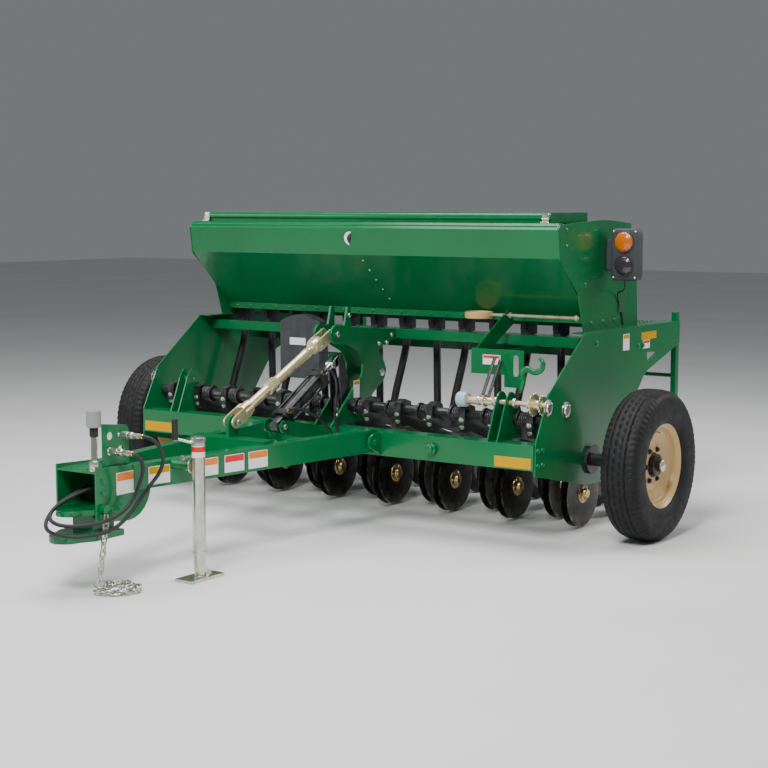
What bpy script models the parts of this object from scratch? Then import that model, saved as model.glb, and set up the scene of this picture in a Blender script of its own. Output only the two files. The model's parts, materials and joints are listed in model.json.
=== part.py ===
"""Seed drill: an end-wheel grain drill with a hopper, thirteen disc openers, a hinged tongue and a jack.

Metres, +Z up, -Y forward (towards the hitch), +X to the machine's left as it travels.
Lengths along Y are counted from the wheel axle, and the whole model hangs on one empty that
puts the middle of its footprint at the world's origin.
"""

from math import atan2, cos, hypot, pi, radians, sin

import bmesh
import bpy
from mathutils import Matrix, Vector

# ---- overall sizes ----
FRONT_REACH = 2.460        # axle to the tip of the hitch
REAR_REACH = 1.053         # axle to the back of the walkboard posts
AXLE_Y = (FRONT_REACH - REAR_REACH) / 2
FRAME_HALF_WIDTH = 1.245   # centre to the outer face of an end plate
GAP = 0.0003               # between solids that touch
RUNNING_GAP = 0.006        # between pieces that move past each other

# ---- wheels ----
TYRE_RADIUS = 0.372
TYRE_WIDTH = 0.200
WHEEL_X = 1.564            # centre of the machine to the middle of a tyre
RIM_RADIUS = 0.2095        # outside of the rim flange
RIM_SEAT_RADIUS = 0.190    # where the tyre's beads sit
RIM_WIDTH = 0.152
HUB_RADIUS = 0.055
SPINDLE_RADIUS = 0.024
SPINDLE_FLANGE_RADIUS = 0.075
WHEEL_STEPS = 20

# ---- frame ----
FRONT_TUBE_Y = (-0.573, -0.471)
FRONT_TUBE_Z = (0.384, 0.506)
REAR_TUBE_Y = (0.500, 0.600)
REAR_TUBE_Z = (0.830, 0.930)
MID_TUBE_Y = (0.020, 0.072)
MID_TUBE_Z = (0.920, 0.972)
END_PLATE_THICKNESS = 0.008
END_PLATE_TOP_Z = 1.004
WALKBOARD_THICKNESS = 0.025
WALKBOARD_FRONT_Y = 0.664
LADDER_X = 0.860           # inner stile of a ladder
LADDER_RUNG_Z = (0.520, 0.700)
LADDER_FOOT_Z = 0.480
LADDER_TOP_Z = 1.050
STILE_SIZE = 0.030
RUNG_RADIUS = 0.011

# ---- hopper ----
HOPPER_END_X = 1.175       # outer face of a hopper end
HOPPER_END_THICKNESS = 0.006
HOPPER_WALL = 0.004
HOPPER_FRONT_Y = -0.234
HOPPER_REAR_Y = 0.556
HOPPER_TOP_Z = 1.541
HOPPER_FLOOR_Z = 1.064
HOPPER_FLOOR_Y = (0.098, 0.345)
LID_HALF_WIDTH = 1.105
LID_FRONT_Y = -0.180
LID_HINGE_Y = 0.208
LID_TOP_Z = 1.595
LID_WALL = 0.003

# ---- openers ----
ROW_COUNT = 13
ROW_SPACING = 0.1905
DISC_RADIUS = 0.1715
DISC_THICKNESS = 0.0035
DISC_HALF_GAP = 0.018      # middle of a row to the inner face of a disc
DISC_GROUND_GAP = 0.006
FRONT_ROW_Y = 0.080
REAR_ROW_Y = 0.240
ROCKSHAFT_Y = -0.400
ROCKSHAFT_Z = 0.600
ROCKSHAFT_RADIUS = 0.028
BEARING_CLEARANCE = 0.0015
ARM_THICKNESS = 0.014
DISC_AXLE_RADIUS = 0.015
PRESS_WHEEL_RADIUS = 0.150
PRESS_WHEEL_WIDTH = 0.055
PRESS_WHEEL_TRAIL = 0.430  # behind its disc
PRESS_AXLE_RADIUS = 0.010
DISC_STEPS = 12
PRESS_WHEEL_STEPS = 8

# ---- tongue ----
TONGUE_PIVOT_Y = -0.640
TONGUE_PIVOT_Z = 0.462
RAIL_TOP_Z = 0.518
RAIL_HEIGHT = 0.112
RAIL_THICKNESS = 0.060
RAIL_REAR_X = 0.345        # outer face at the pivot end
RAIL_FRONT_X = 0.127       # outer face at the hitch
RAIL_FRONT_Y = -2.100
PIN_RADIUS = 0.014
PIN_CLEARANCE = 0.0009
LUG_THICKNESS = 0.012
HITCH_PLATE_X = 0.120      # outer face of a hitch side plate
HITCH_PLATE_THICKNESS = 0.010
CROSS_MEMBER_Y = (-1.335, -1.255)
DECK_TOP_Z = 0.513         # top of the small deck between the hitch plates

# ---- turnbuckle and lift cylinder ----
LINK_LOW_Y, LINK_LOW_Z = -1.290, 0.606
LINK_HIGH_Y, LINK_HIGH_Z = -0.520, 0.975
LINK_TUBE_RADIUS = 0.024
LINK_ROD_RADIUS = 0.013
CYLINDER_LOW_Y, CYLINDER_LOW_Z = -0.953, 0.549
CYLINDER_HIGH_Y, CYLINDER_HIGH_Z = -0.450, 0.840
BARREL_RADIUS = 0.036
BARREL_END = 0.425         # from the lower pin, along the cylinder
CYLINDER_ROD_RADIUS = 0.016
EYE_CLEARANCE = 0.005
MAST_X = 0.052
MAST_THICKNESS = 0.012
CRANK_X = 0.033
CRANK_THICKNESS = 0.008

# ---- jack ----
JACK_X, JACK_Y = 0.300, -1.880
JACK_PIVOT_Z = 0.500
JACK_TUBE_RADIUS = 0.0285
JACK_WALL = 0.003
JACK_LEG_CLEARANCE = 0.0007
JACK_LEG_RADIUS = JACK_TUBE_RADIUS - JACK_WALL - JACK_LEG_CLEARANCE
JACK_TOP_Z = 0.600
JACK_TUBE_FOOT_Z = 0.105
JACK_FOOT_LENGTH = 0.220
JACK_FOOT_WIDTH = 0.100
JACK_FOOT_THICKNESS = 0.012

# ---- drive shaft ----
DRIVE_Y, DRIVE_Z = -0.450, 0.685
DRIVE_RADIUS = 0.0127
STAND_X = (0.982, 1.035)   # middles of the two plates of a stand
STAND_THICKNESS = 0.008

GREEN = ((0.005, 0.190, 0.070), 0.35, 0.0)
BLACK = ((0.012, 0.013, 0.014), 0.45, 0.0)
GREY = ((0.045, 0.050, 0.055), 0.55, 0.0)
RUBBER = ((0.022, 0.022, 0.023), 0.85, 0.0)
CREAM = ((0.620, 0.480, 0.240), 0.45, 0.0)
ZINC = ((0.640, 0.620, 0.500), 0.35, 0.9)
PALE = ((0.560, 0.560, 0.470), 0.45, 0.2)
STEEL = ((0.200, 0.190, 0.180), 0.40, 0.9)


def start():
    """Empty the scene and make the collections and the empty that carries the machine."""
    for old in list(bpy.data.objects):
        bpy.data.objects.remove(old, do_unlink=True)
    machine = bpy.data.collections.new("seed_drill")
    bpy.context.scene.collection.children.link(machine)
    axle = bpy.data.objects.new("axle_centre", None)
    axle.location = (0, AXLE_Y, 0)
    machine.objects.link(axle)
    return machine, axle


MACHINE, AXLE = start()
PAINTS = {}


def paint(finish):
    """The Principled material of one finish, made once."""
    colour, roughness, metallic = finish
    if finish not in PAINTS:
        material = bpy.data.materials.new(f"finish_{len(PAINTS)}")
        material.use_nodes = True
        shader = material.node_tree.nodes["Principled BSDF"]
        shader.inputs["Base Color"].default_value = (*colour, 1)
        shader.inputs["Roughness"].default_value = roughness
        shader.inputs["Metallic"].default_value = metallic
        PAINTS[finish] = material
    return PAINTS[finish]


# ---- shapes ----
def as_object(mesh):
    """A loose object on a mesh, in the scene while it is being worked on."""
    made = bpy.data.objects.new("shape", mesh)
    bpy.context.scene.collection.objects.link(made)
    return made


def evaluated(source):
    """Swap an object with modifiers, or a curve, for one plain welded mesh."""
    bpy.context.view_layer.update()
    ready = source.evaluated_get(bpy.context.evaluated_depsgraph_get())
    mesh = bpy.data.meshes.new_from_object(ready)
    mesh.transform(source.matrix_world)
    bpy.data.objects.remove(source, do_unlink=True)
    work = bmesh.new()
    work.from_mesh(mesh)
    bmesh.ops.remove_doubles(work, verts=work.verts, dist=0.00001)
    bmesh.ops.recalc_face_normals(work, faces=work.faces)
    work.to_mesh(mesh)
    work.free()
    return as_object(mesh)


def box(x, y, z):
    """A block between two limits on each axis."""
    mesh = bpy.data.meshes.new("box")
    work = bmesh.new()
    bmesh.ops.create_cube(work, size=1)
    middle = Vector([(pair[0] + pair[1]) / 2 for pair in (x, y, z)])
    for vertex in work.verts:
        size = Vector([abs(pair[1] - pair[0]) for pair in (x, y, z)])
        vertex.co = middle + vertex.co * size
    work.to_mesh(mesh)
    work.free()
    return as_object(mesh)


def along(direction):
    """The turn that takes +Z to a direction."""
    return Vector(direction).to_track_quat("Z", "Y").to_matrix().to_4x4()


def rod(start_point, end_point, radius, sides=12, end_radius=None):
    """A round bar or cone between two points."""
    first, last = Vector(start_point), Vector(end_point)
    mesh = bpy.data.meshes.new("rod")
    work = bmesh.new()
    bmesh.ops.create_cone(
        work,
        cap_ends=True,
        segments=sides,
        radius1=radius,
        radius2=radius if end_radius is None else end_radius,
        depth=(last - first).length,
    )
    bmesh.ops.transform(work, matrix=along(last - first), verts=work.verts)
    bmesh.ops.translate(work, vec=(first + last) / 2, verts=work.verts)
    work.to_mesh(mesh)
    work.free()
    return as_object(mesh)


def turned(profile, centre, steps, direction=(1, 0, 0), turn=0.0):
    """A profile of (radius, height) points turned about a line through a point."""
    mesh = bpy.data.meshes.new("profile")
    points = [(radius, 0, height) for radius, height in profile]
    closed = profile[0][0] > 0
    edges = [(i, i + 1) for i in range(len(points) - 1)]
    if closed:
        edges.append((len(points) - 1, 0))
    mesh.from_pydata(points, edges, [])
    made = as_object(mesh)
    screw = made.modifiers.new("turn", "SCREW")
    screw.angle = 2 * pi
    screw.steps = steps
    screw.render_steps = steps
    screw.use_merge_vertices = True
    screw.merge_threshold = 0.00001
    made.matrix_world = Matrix.Translation(Vector(centre)) @ along(direction) @ Matrix.Rotation(turn, 4, "Z")
    return evaluated(made)


PLANES = {
    "yz": Matrix(((0, 0, 1, 0), (1, 0, 0, 0), (0, 1, 0, 0), (0, 0, 0, 1))),
    "xz": Matrix(((1, 0, 0, 0), (0, 0, -1, 0), (0, 1, 0, 0), (0, 0, 0, 1))),
    "xy": Matrix.Identity(4),
}
NORMALS = {"yz": (1, 0, 0), "xz": (0, -1, 0), "xy": (0, 0, 1)}


def plate(plane, outline, middle, thickness, holes=()):
    """A flat plate: an outline and its holes in one plane, centred at a place on the third axis."""
    curve = bpy.data.curves.new("outline", "CURVE")
    curve.dimensions = "2D"
    curve.fill_mode = "BOTH"
    curve.extrude = thickness / 2
    for loop in [outline, *holes]:
        spline = curve.splines.new("POLY")
        spline.points.add(len(loop) - 1)
        for point, (u, v) in zip(spline.points, loop):
            point.co = (u, v, 0, 1)
        spline.use_cyclic_u = True
    made = bpy.data.objects.new("plate", curve)
    bpy.context.scene.collection.objects.link(made)
    offset = Vector(NORMALS[plane]) * middle
    if plane == "xz":
        offset = Vector((0, middle, 0))
    made.matrix_world = Matrix.Translation(offset) @ PLANES[plane]
    return evaluated(made)


def tube(points, radius, resolution=2):
    """A round bar along a line of points, with filled ends."""
    curve = bpy.data.curves.new("route", "CURVE")
    curve.dimensions = "3D"
    curve.bevel_depth = radius
    curve.bevel_resolution = resolution
    curve.use_fill_caps = True
    spline = curve.splines.new("POLY")
    spline.points.add(len(points) - 1)
    for point, place in zip(spline.points, points):
        point.co = (*place, 1)
    made = bpy.data.objects.new("tube", curve)
    bpy.context.scene.collection.objects.link(made)
    return evaluated(made)


def circle(u, v, radius, sides=16, first=0.0, last=2 * pi):
    """Points round a circle, or an arc of it when first and last are given."""
    whole = abs(last - first - 2 * pi) < 1e-6
    count = sides if whole else sides + 1
    step = (last - first) / sides
    return [(u + radius * cos(first + step * i), v + radius * sin(first + step * i)) for i in range(count)]


def bar(first, last, width, end_width=None, sides=6):
    """The outline of a flat link with round ends between two points."""
    half, end_half = width / 2, (end_width or width) / 2
    angle = atan2(last[1] - first[1], last[0] - first[0])
    start_arc = circle(*first, half, sides, angle + pi / 2, angle + 3 * pi / 2)
    return start_arc + circle(*last, end_half, sides, angle - pi / 2, angle + pi / 2)


def strip(points, thickness):
    """The outline of a folded sheet: a line of points given a thickness."""
    left, right = [], []
    for i, (u, v) in enumerate(points):
        before = points[max(i - 1, 0)]
        after = points[min(i + 1, len(points) - 1)]
        legs = [(u - before[0], v - before[1]), (after[0] - u, after[1] - v)]
        units = [(a / hypot(a, b), b / hypot(a, b)) for a, b in legs if hypot(a, b) > 0]
        normals = [(-b, a) for a, b in units]
        mean = (sum(n[0] for n in normals), sum(n[1] for n in normals))
        size = hypot(*mean)
        mitre = (mean[0] / size, mean[1] / size)
        reach = thickness / 2 / (mitre[0] * normals[0][0] + mitre[1] * normals[0][1])
        left.append((u + mitre[0] * reach, v + mitre[1] * reach))
        right.append((u - mitre[0] * reach, v - mitre[1] * reach))
    return left + right[::-1]


def boolean(target, tools, operation):
    """Join tools to a shape, or cut them from it, and leave one plain mesh."""
    for tool in tools:
        step = target.modifiers.new("step", "BOOLEAN")
        step.operation = operation
        step.solver = "EXACT"
        step.object = tool
    made = evaluated(target)
    for tool in tools:
        bpy.data.objects.remove(tool, do_unlink=True)
    return made


def joined(first, *rest):
    return boolean(first, rest, "UNION")


def cut(target, *tools):
    return boolean(target, tools, "DIFFERENCE")


def piece(name, shape, finish, pivot=(0, 0, 0)):
    """Name a finished shape, paint it, and hang it on the axle empty with its origin at its pivot."""
    shape.name = name
    shape.data.name = name
    shape.data.transform(Matrix.Translation(-Vector(pivot)))
    shape.data.materials.clear()
    shape.data.materials.append(paint(finish))
    shape.data.shade_smooth()
    shape.data.set_sharp_from_angle(angle=radians(35))
    shape.parent = AXLE
    shape.location = pivot
    bpy.context.scene.collection.objects.unlink(shape)
    MACHINE.objects.link(shape)
    return shape


def sides():
    """The two sides of the machine, as a name and the sign of X."""
    return (("right", 1), ("left", -1))


def span(low, high, sign):
    """Limits along X on one side of the machine."""
    return (low * sign, high * sign) if sign > 0 else (high * sign, low * sign)


def polar(start_point, angle, reach, across=0.0):
    """A point that lies along and beside a line in the YZ plane."""
    y, z = start_point
    return (y + reach * cos(angle) - across * sin(angle), z + reach * sin(angle) + across * cos(angle))


# ---- frame ----
PLATE_INNER_X = FRAME_HALF_WIDTH - END_PLATE_THICKNESS
TUBE_HALF = PLATE_INNER_X - GAP


def rail_outer_x(y):
    """The outer face of a tongue rail at a place along it."""
    share = (y - RAIL_FRONT_Y) / (TONGUE_PIVOT_Y - RAIL_FRONT_Y)
    return RAIL_FRONT_X + share * (RAIL_REAR_X - RAIL_FRONT_X)


def tongue_lugs(sign):
    """Two lugs on the front tube's face with the pin that a rail swings on."""
    front = FRONT_TUBE_Y[0]
    rail_outer = rail_outer_x(TONGUE_PIVOT_Y)
    shapes = []
    slack = 0.014
    for inner in (rail_outer - RAIL_THICKNESS - slack - LUG_THICKNESS, rail_outer + slack):
        outline = [(front + 0.001, 0.390), (front + 0.001, 0.504)]
        outline += circle(TONGUE_PIVOT_Y, TONGUE_PIVOT_Z, 0.040, 4, pi / 2, 3 * pi / 2)
        middle = sign * (inner + LUG_THICKNESS / 2)
        shapes.append(plate("yz", outline, middle, LUG_THICKNESS))
    ends = span(rail_outer - RAIL_THICKNESS - 0.038, rail_outer + 0.042, sign)
    shapes.append(
        rod((ends[0], TONGUE_PIVOT_Y, TONGUE_PIVOT_Z), (ends[1], TONGUE_PIVOT_Y, TONGUE_PIVOT_Z), PIN_RADIUS)
    )
    return shapes


def cylinder_lugs():
    """Two long lugs ahead of the front tube with the pin of the lift cylinder."""
    front = FRONT_TUBE_Y[0]
    shapes = []
    for sign in (1, -1):
        outline = [(front + 0.001, 0.430), (front + 0.001, 0.503)]
        outline += circle(CYLINDER_LOW_Y, CYLINDER_LOW_Z, 0.032, 5, pi / 2, 3 * pi / 2)
        shapes.append(plate("yz", outline, sign * 0.050, 0.010))
    shapes.append(
        rod((-0.064, CYLINDER_LOW_Y, CYLINDER_LOW_Z), (0.064, CYLINDER_LOW_Y, CYLINDER_LOW_Z), 0.0125)
    )
    return shapes


def front_tube():
    body = box((-TUBE_HALF, TUBE_HALF), FRONT_TUBE_Y, FRONT_TUBE_Z)
    return joined(body, *tongue_lugs(1), *tongue_lugs(-1), *cylinder_lugs(), *stand(1), *stand(-1))


def cross_tube(y, z):
    return box((-TUBE_HALF, TUBE_HALF), y, z)


def end_plate(sign):
    """The plate at each end: it carries the wheel spindle, the tubes and the walkboard."""
    top = END_PLATE_TOP_Z
    outline = [
        (-0.567, 0.359), (-0.563, 0.513), (-0.446, 0.737), (-0.101, top - 0.018),
        (-0.080, top), (REAR_REACH - 0.010, top), (REAR_REACH - 0.010, 0.880), (0.640, 0.762),
        (0.596, 0.737), (0.536, 0.676), (0.230, 0.300), (0.130, 0.240), (-0.043, 0.245),
    ]
    window = [(0.628, 0.860), (0.745, 0.852), (0.637, 0.811)]
    middle = sign * (FRAME_HALF_WIDTH - END_PLATE_THICKNESS / 2)
    web = plate("yz", outline, middle, END_PLATE_THICKNESS, [window])
    flange_x = span(HOPPER_END_X - 0.008, FRAME_HALF_WIDTH - 0.001, sign)
    flange = box(flange_x, (-0.080, REAR_REACH - 0.040), (top - 0.006, top))
    return joined(web, flange)


def spindle(sign):
    """The stub axle of a wheel with its bolted flange."""
    start_x = FRAME_HALF_WIDTH + GAP
    shaft_end = WHEEL_X + 0.030
    profile = [
        (0, shaft_end), (SPINDLE_RADIUS, shaft_end), (SPINDLE_RADIUS, start_x + 0.110),
        (0.034, start_x + 0.090), (0.034, start_x + 0.016),
        (SPINDLE_FLANGE_RADIUS, start_x + 0.016), (SPINDLE_FLANGE_RADIUS, start_x), (0, start_x),
    ]
    return turned(profile, (0, 0, TYRE_RADIUS), 16, (sign, 0, 0))


def walkboard():
    rear = REAR_REACH - 0.040
    top = END_PLATE_TOP_Z - 0.006 - GAP
    return box((-TUBE_HALF, TUBE_HALF), (WALKBOARD_FRONT_Y, rear), (top - WALKBOARD_THICKNESS, top))


def ladder(sign):
    """Two stiles with rungs at the back corner, hung from the walkboard's end."""
    y = (REAR_REACH - 0.040 + GAP, REAR_REACH)
    inner_y = (REAR_REACH - 0.040 + GAP, REAR_REACH)
    outer_x = span(PLATE_INNER_X - GAP - STILE_SIZE, PLATE_INNER_X - GAP, sign)
    inner_x = span(LADDER_X, LADDER_X + STILE_SIZE, sign)
    outer = box(outer_x, y, (LADDER_FOOT_Z, LADDER_TOP_Z))
    inner = box(inner_x, inner_y, (LADDER_FOOT_Z, END_PLATE_TOP_Z - 0.006 - GAP))
    middle_y = REAR_REACH - 0.020
    reach = span(LADDER_X + 0.005, PLATE_INNER_X - GAP - 0.005, sign)
    rungs = [rod((reach[0], middle_y, z), (reach[1], middle_y, z), RUNG_RADIUS, 10) for z in LADDER_RUNG_Z]
    return joined(outer, inner, *rungs)


# ---- wheels ----
def tyre(sign):
    """The tyre, with a flat of its turned outline on the ground."""
    half = TYRE_WIDTH / 2
    bead = RIM_WIDTH / 2 - 0.0125
    outside = TYRE_RADIUS / cos(pi / WHEEL_STEPS)
    side = [
        (outside, half * 0.55), (outside - 0.008, half * 0.78), (outside - 0.040, half * 0.95),
        (outside - 0.085, half), (outside - 0.140, half * 0.90), (RIM_RADIUS + 0.004, bead),
        (RIM_SEAT_RADIUS + GAP, bead),
    ]
    profile = side + [(radius, -height) for radius, height in reversed(side)]
    return turned(profile, (sign * WHEEL_X, 0, TYRE_RADIUS), WHEEL_STEPS, (sign, 0, 0), pi / WHEEL_STEPS)


def rim(sign):
    """Rim, wheel disc and hub with its blind bore, turned as one."""
    bead = RIM_WIDTH / 2
    bore = SPINDLE_RADIUS + 0.0011
    seat = RIM_SEAT_RADIUS - GAP
    blind = WHEEL_X + 0.030 + 0.004 - WHEEL_X
    profile = [
        (0, 0.082), (0.030, 0.082), (0.030, 0.050), (HUB_RADIUS, 0.046), (HUB_RADIUS, 0.022),
        (0.120, 0.014), (0.165, 0.034), (0.176, 0.034),
        (seat - 0.008, bead - 0.012), (RIM_RADIUS, bead), (RIM_RADIUS, bead - 0.006), (seat, bead - 0.012),
        (seat, -bead + 0.012), (RIM_RADIUS, -bead + 0.006), (RIM_RADIUS, -bead), (seat - 0.008, -bead + 0.012),
        (0.165, 0.026), (0.120, 0.006), (HUB_RADIUS, 0.012), (HUB_RADIUS, -0.060),
        (bore, -0.060), (bore, blind), (0, blind),
    ]
    return turned(profile, (sign * WHEEL_X, 0, TYRE_RADIUS), WHEEL_STEPS, (sign, 0, 0), pi / WHEEL_STEPS)


# ---- hopper ----
def hopper_section():
    """The folded sheet of the hopper, from its front rim round the floor to the lid's hinge rail."""
    floor_front, floor_rear = HOPPER_FLOOR_Y
    return [
        (HOPPER_FRONT_Y + 0.062, HOPPER_TOP_Z), (HOPPER_FRONT_Y + 0.021, HOPPER_TOP_Z),
        (HOPPER_FRONT_Y, HOPPER_TOP_Z - 0.030), (HOPPER_FRONT_Y + 0.020, HOPPER_TOP_Z - 0.169),
        (floor_front, HOPPER_FLOOR_Z), (floor_rear, HOPPER_FLOOR_Z),
        (HOPPER_REAR_Y, HOPPER_FLOOR_Z + 0.226), (HOPPER_REAR_Y - 0.006, HOPPER_TOP_Z - 0.006),
        (LID_HINGE_Y + 0.012, HOPPER_TOP_Z),
    ]


def hopper_trough():
    half = HOPPER_END_X - HOPPER_END_THICKNESS - GAP
    return plate("yz", strip(hopper_section(), HOPPER_WALL), 0, 2 * half)


def hopper_end(sign):
    """An end sheet of the hopper, which stands on the end plate's flange."""
    base = END_PLATE_TOP_Z + GAP
    outline = [
        (HOPPER_FRONT_Y + 0.019, HOPPER_TOP_Z - 0.003), (HOPPER_FRONT_Y - 0.005, HOPPER_TOP_Z - 0.032),
        (HOPPER_FRONT_Y + 0.016, HOPPER_TOP_Z - 0.175), (-0.026, 1.194), (0.039, base),
        (0.655, base), (0.640, 1.239), (0.560, HOPPER_TOP_Z - 0.004), (0.361, HOPPER_TOP_Z + 0.013),
        (0.232, HOPPER_TOP_Z + 0.017),
    ]
    middle = sign * (HOPPER_END_X - HOPPER_END_THICKNESS / 2)
    return plate("yz", outline, middle, HOPPER_END_THICKNESS)


def hopper_lid():
    """A shallow tray upside down, with its hinge rail along the back."""
    low = HOPPER_TOP_Z + HOPPER_WALL / 2 + GAP
    rear = LID_HINGE_Y - 0.006
    shell = box((-LID_HALF_WIDTH, LID_HALF_WIDTH), (LID_FRONT_Y, rear), (low, LID_TOP_Z))
    inside = box(
        (-LID_HALF_WIDTH + LID_WALL, LID_HALF_WIDTH - LID_WALL),
        (LID_FRONT_Y + LID_WALL, rear - LID_WALL),
        (low - 0.010, LID_TOP_Z - LID_WALL),
    )
    return cut(shell, inside)


def cup_bar():
    """The row of seed cups bolted under the hopper's floor."""
    middle = (HOPPER_FLOOR_Y[0] + HOPPER_FLOOR_Y[1]) / 2
    top = HOPPER_FLOOR_Z - HOPPER_WALL / 2 - GAP
    bar_box = box((-1.160, 1.160), (middle - 0.045, middle + 0.045), (top - 0.030, top))
    cups = []
    for x in row_places():
        cups.append(box((x - 0.022, x + 0.022), (middle - 0.052, middle + 0.052), (top - 0.105, top - 0.010)))
    return joined(bar_box, *cups)


# ---- openers ----
def row_places():
    """The middle of each seed row, from the right end to the left."""
    first = ROW_SPACING * (ROW_COUNT - 1) / 2
    return [first - ROW_SPACING * i for i in range(ROW_COUNT)]


def row_y(i):
    return FRONT_ROW_Y if i % 2 == 0 else REAR_ROW_Y


DISC_Z = DISC_RADIUS + DISC_GROUND_GAP
PRESS_WHEEL_Z = PRESS_WHEEL_RADIUS + DISC_GROUND_GAP


def disc_pair(x, y):
    """Two flat discs on one axle, with a cap on each side."""
    inner, outer = DISC_HALF_GAP, DISC_HALF_GAP + DISC_THICKNESS
    cap = outer + 0.026
    half = [
        (0, cap), (0.024, cap), (0.046, outer + 0.004),
        (DISC_RADIUS, outer), (DISC_RADIUS, inner), (DISC_AXLE_RADIUS, inner),
    ]
    profile = half + [(radius, -height) for radius, height in reversed(half)]
    return turned(profile, (x, y, DISC_Z), DISC_STEPS)


def press_wheel(x, y):
    half = PRESS_WHEEL_WIDTH / 2
    profile = [
        (0, half), (PRESS_WHEEL_RADIUS - 0.030, half), (PRESS_WHEEL_RADIUS, half * 0.5),
        (PRESS_WHEEL_RADIUS, -half * 0.5), (PRESS_WHEEL_RADIUS - 0.030, -half), (0, -half),
    ]
    return turned(profile, (x, y, PRESS_WHEEL_Z), PRESS_WHEEL_STEPS)


def opener_arm(x, y):
    """One opener: a casting on the rockshaft, a drag arm down to the disc, and the press wheel's arm."""
    knee = (y - 0.060, 0.405)
    hub = (y, DISC_Z)
    wheel_y = y + PRESS_WHEEL_TRAIL
    wheel = (wheel_y, PRESS_WHEEL_Z)
    casting = plate(
        "yz",
        [
            (ROCKSHAFT_Y - 0.052, 0.560), (ROCKSHAFT_Y - 0.030, 0.516), (ROCKSHAFT_Y + 0.045, 0.520),
            (ROCKSHAFT_Y + 0.070, 0.570), (ROCKSHAFT_Y + 0.050, 0.640), (ROCKSHAFT_Y, 0.656),
            (ROCKSHAFT_Y - 0.045, 0.640),
        ],
        x,
        0.038,
    )
    upper = plate("yz", bar((ROCKSHAFT_Y + 0.020, 0.560), knee, 0.062, 0.070, 2), x, ARM_THICKNESS)
    hole = circle(*hub, DISC_AXLE_RADIUS + BEARING_CLEARANCE, 8)
    lower = plate("yz", bar(knee, hub, 0.074, 0.056, 3), x, ARM_THICKNESS + 0.004, [hole])
    tail = plate("yz", bar((y - 0.030, 0.388), (wheel_y - 0.120, 0.340), 0.036, None, 2), x, ARM_THICKNESS - 0.004)
    side = x + 0.047
    bridge = box((x, side), (wheel_y - 0.135, wheel_y - 0.105), (0.325, 0.355))
    leg = plate("yz", bar((wheel_y - 0.120, 0.340), wheel, 0.030, None, 2), side, 0.008)
    axle = rod((x + 0.001, *wheel), (side, *wheel), PRESS_AXLE_RADIUS, 6)
    return [casting, upper, lower, tail, bridge, leg, axle, press_wheel(x, wheel_y)]


def crank_arms():
    """The two arms on the rockshaft that the lift cylinder pulls."""
    pin = (CYLINDER_HIGH_Y, CYLINDER_HIGH_Z)
    outline = bar((ROCKSHAFT_Y, ROCKSHAFT_Z), pin, 0.096, 0.044)
    shapes = [plate("yz", outline, sign * CRANK_X, CRANK_THICKNESS) for sign in (1, -1)]
    reach = CRANK_X + CRANK_THICKNESS / 2
    shapes.append(rod((-reach, *pin), (reach, *pin), 0.010))
    return shapes


def opener_gang():
    """The rockshaft with every opener arm on it."""
    half = PLATE_INNER_X - RUNNING_GAP
    shaft = rod((-half, ROCKSHAFT_Y, ROCKSHAFT_Z), (half, ROCKSHAFT_Y, ROCKSHAFT_Z), ROCKSHAFT_RADIUS, 12)
    shapes = list(crank_arms())
    for i, x in enumerate(row_places()):
        shapes += opener_arm(x, row_y(i))
    return joined(shaft, *shapes)


def seed_tubes():
    """The hose of each row, from its cup down to its opener."""
    cup_y = (HOPPER_FLOOR_Y[0] + HOPPER_FLOOR_Y[1]) / 2
    top = HOPPER_FLOOR_Z - 0.095
    shapes = []
    for i, x in enumerate(row_places()):
        foot_y = row_y(i) - 0.010
        foot_z = 0.455
        points = []
        count = 4
        for k in range(count):
            t = k / (count - 1)
            ease = t * t * (3 - 2 * t)
            points.append((x, cup_y + (foot_y - cup_y) * ease, top + (foot_z - top) * t))
        shapes.append(tube(points, 0.019, 1))
    return shapes


# ---- mast, stands and drive ----
def mast_plate(sign):
    """One plate of the mast: it stands on the front tube and reaches up to the top link and back."""
    base = FRONT_TUBE_Z[1] + GAP
    mid_y = MID_TUBE_Y[0] - GAP
    outline = [
        (FRONT_TUBE_Y[0] + 0.002, base), (-0.360, 0.700), (-0.296, 0.745), (-0.285, 0.805),
        (-0.330, 0.870), (-0.430, 0.915),
    ]
    outline += circle(LINK_HIGH_Y, LINK_HIGH_Z, 0.050, 8, -pi / 2 + 0.35, -3 * pi / 2 + 0.1)
    outline += [
        (-0.452, 1.018), (-0.425, 1.112), (-0.398, 1.112), (-0.395, 1.000), (mid_y, 0.972), (mid_y, 0.925),
        (-0.090, 0.900), (-0.140, 0.865), (-0.090, 0.800), (-0.072, 0.760), (-0.090, 0.712),
        (-0.140, 0.680), (-0.200, 0.640), (-0.300, base),
    ]
    holes = [
        circle(ROCKSHAFT_Y, ROCKSHAFT_Z, ROCKSHAFT_RADIUS + BEARING_CLEARANCE, 16),
    ]
    return plate("yz", outline, sign * MAST_X, MAST_THICKNESS, holes)


def mast():
    """Both mast plates with the cross pin of the top link and a spacer at the back."""
    reach = MAST_X + MAST_THICKNESS / 2 + 0.012
    pin = rod((-reach, LINK_HIGH_Y, LINK_HIGH_Z), (reach, LINK_HIGH_Y, LINK_HIGH_Z), 0.0125)
    spacer = rod((-MAST_X, -0.115, 0.748), (MAST_X, -0.115, 0.748), 0.020)
    return joined(mast_plate(1), mast_plate(-1), pin, spacer)


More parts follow.
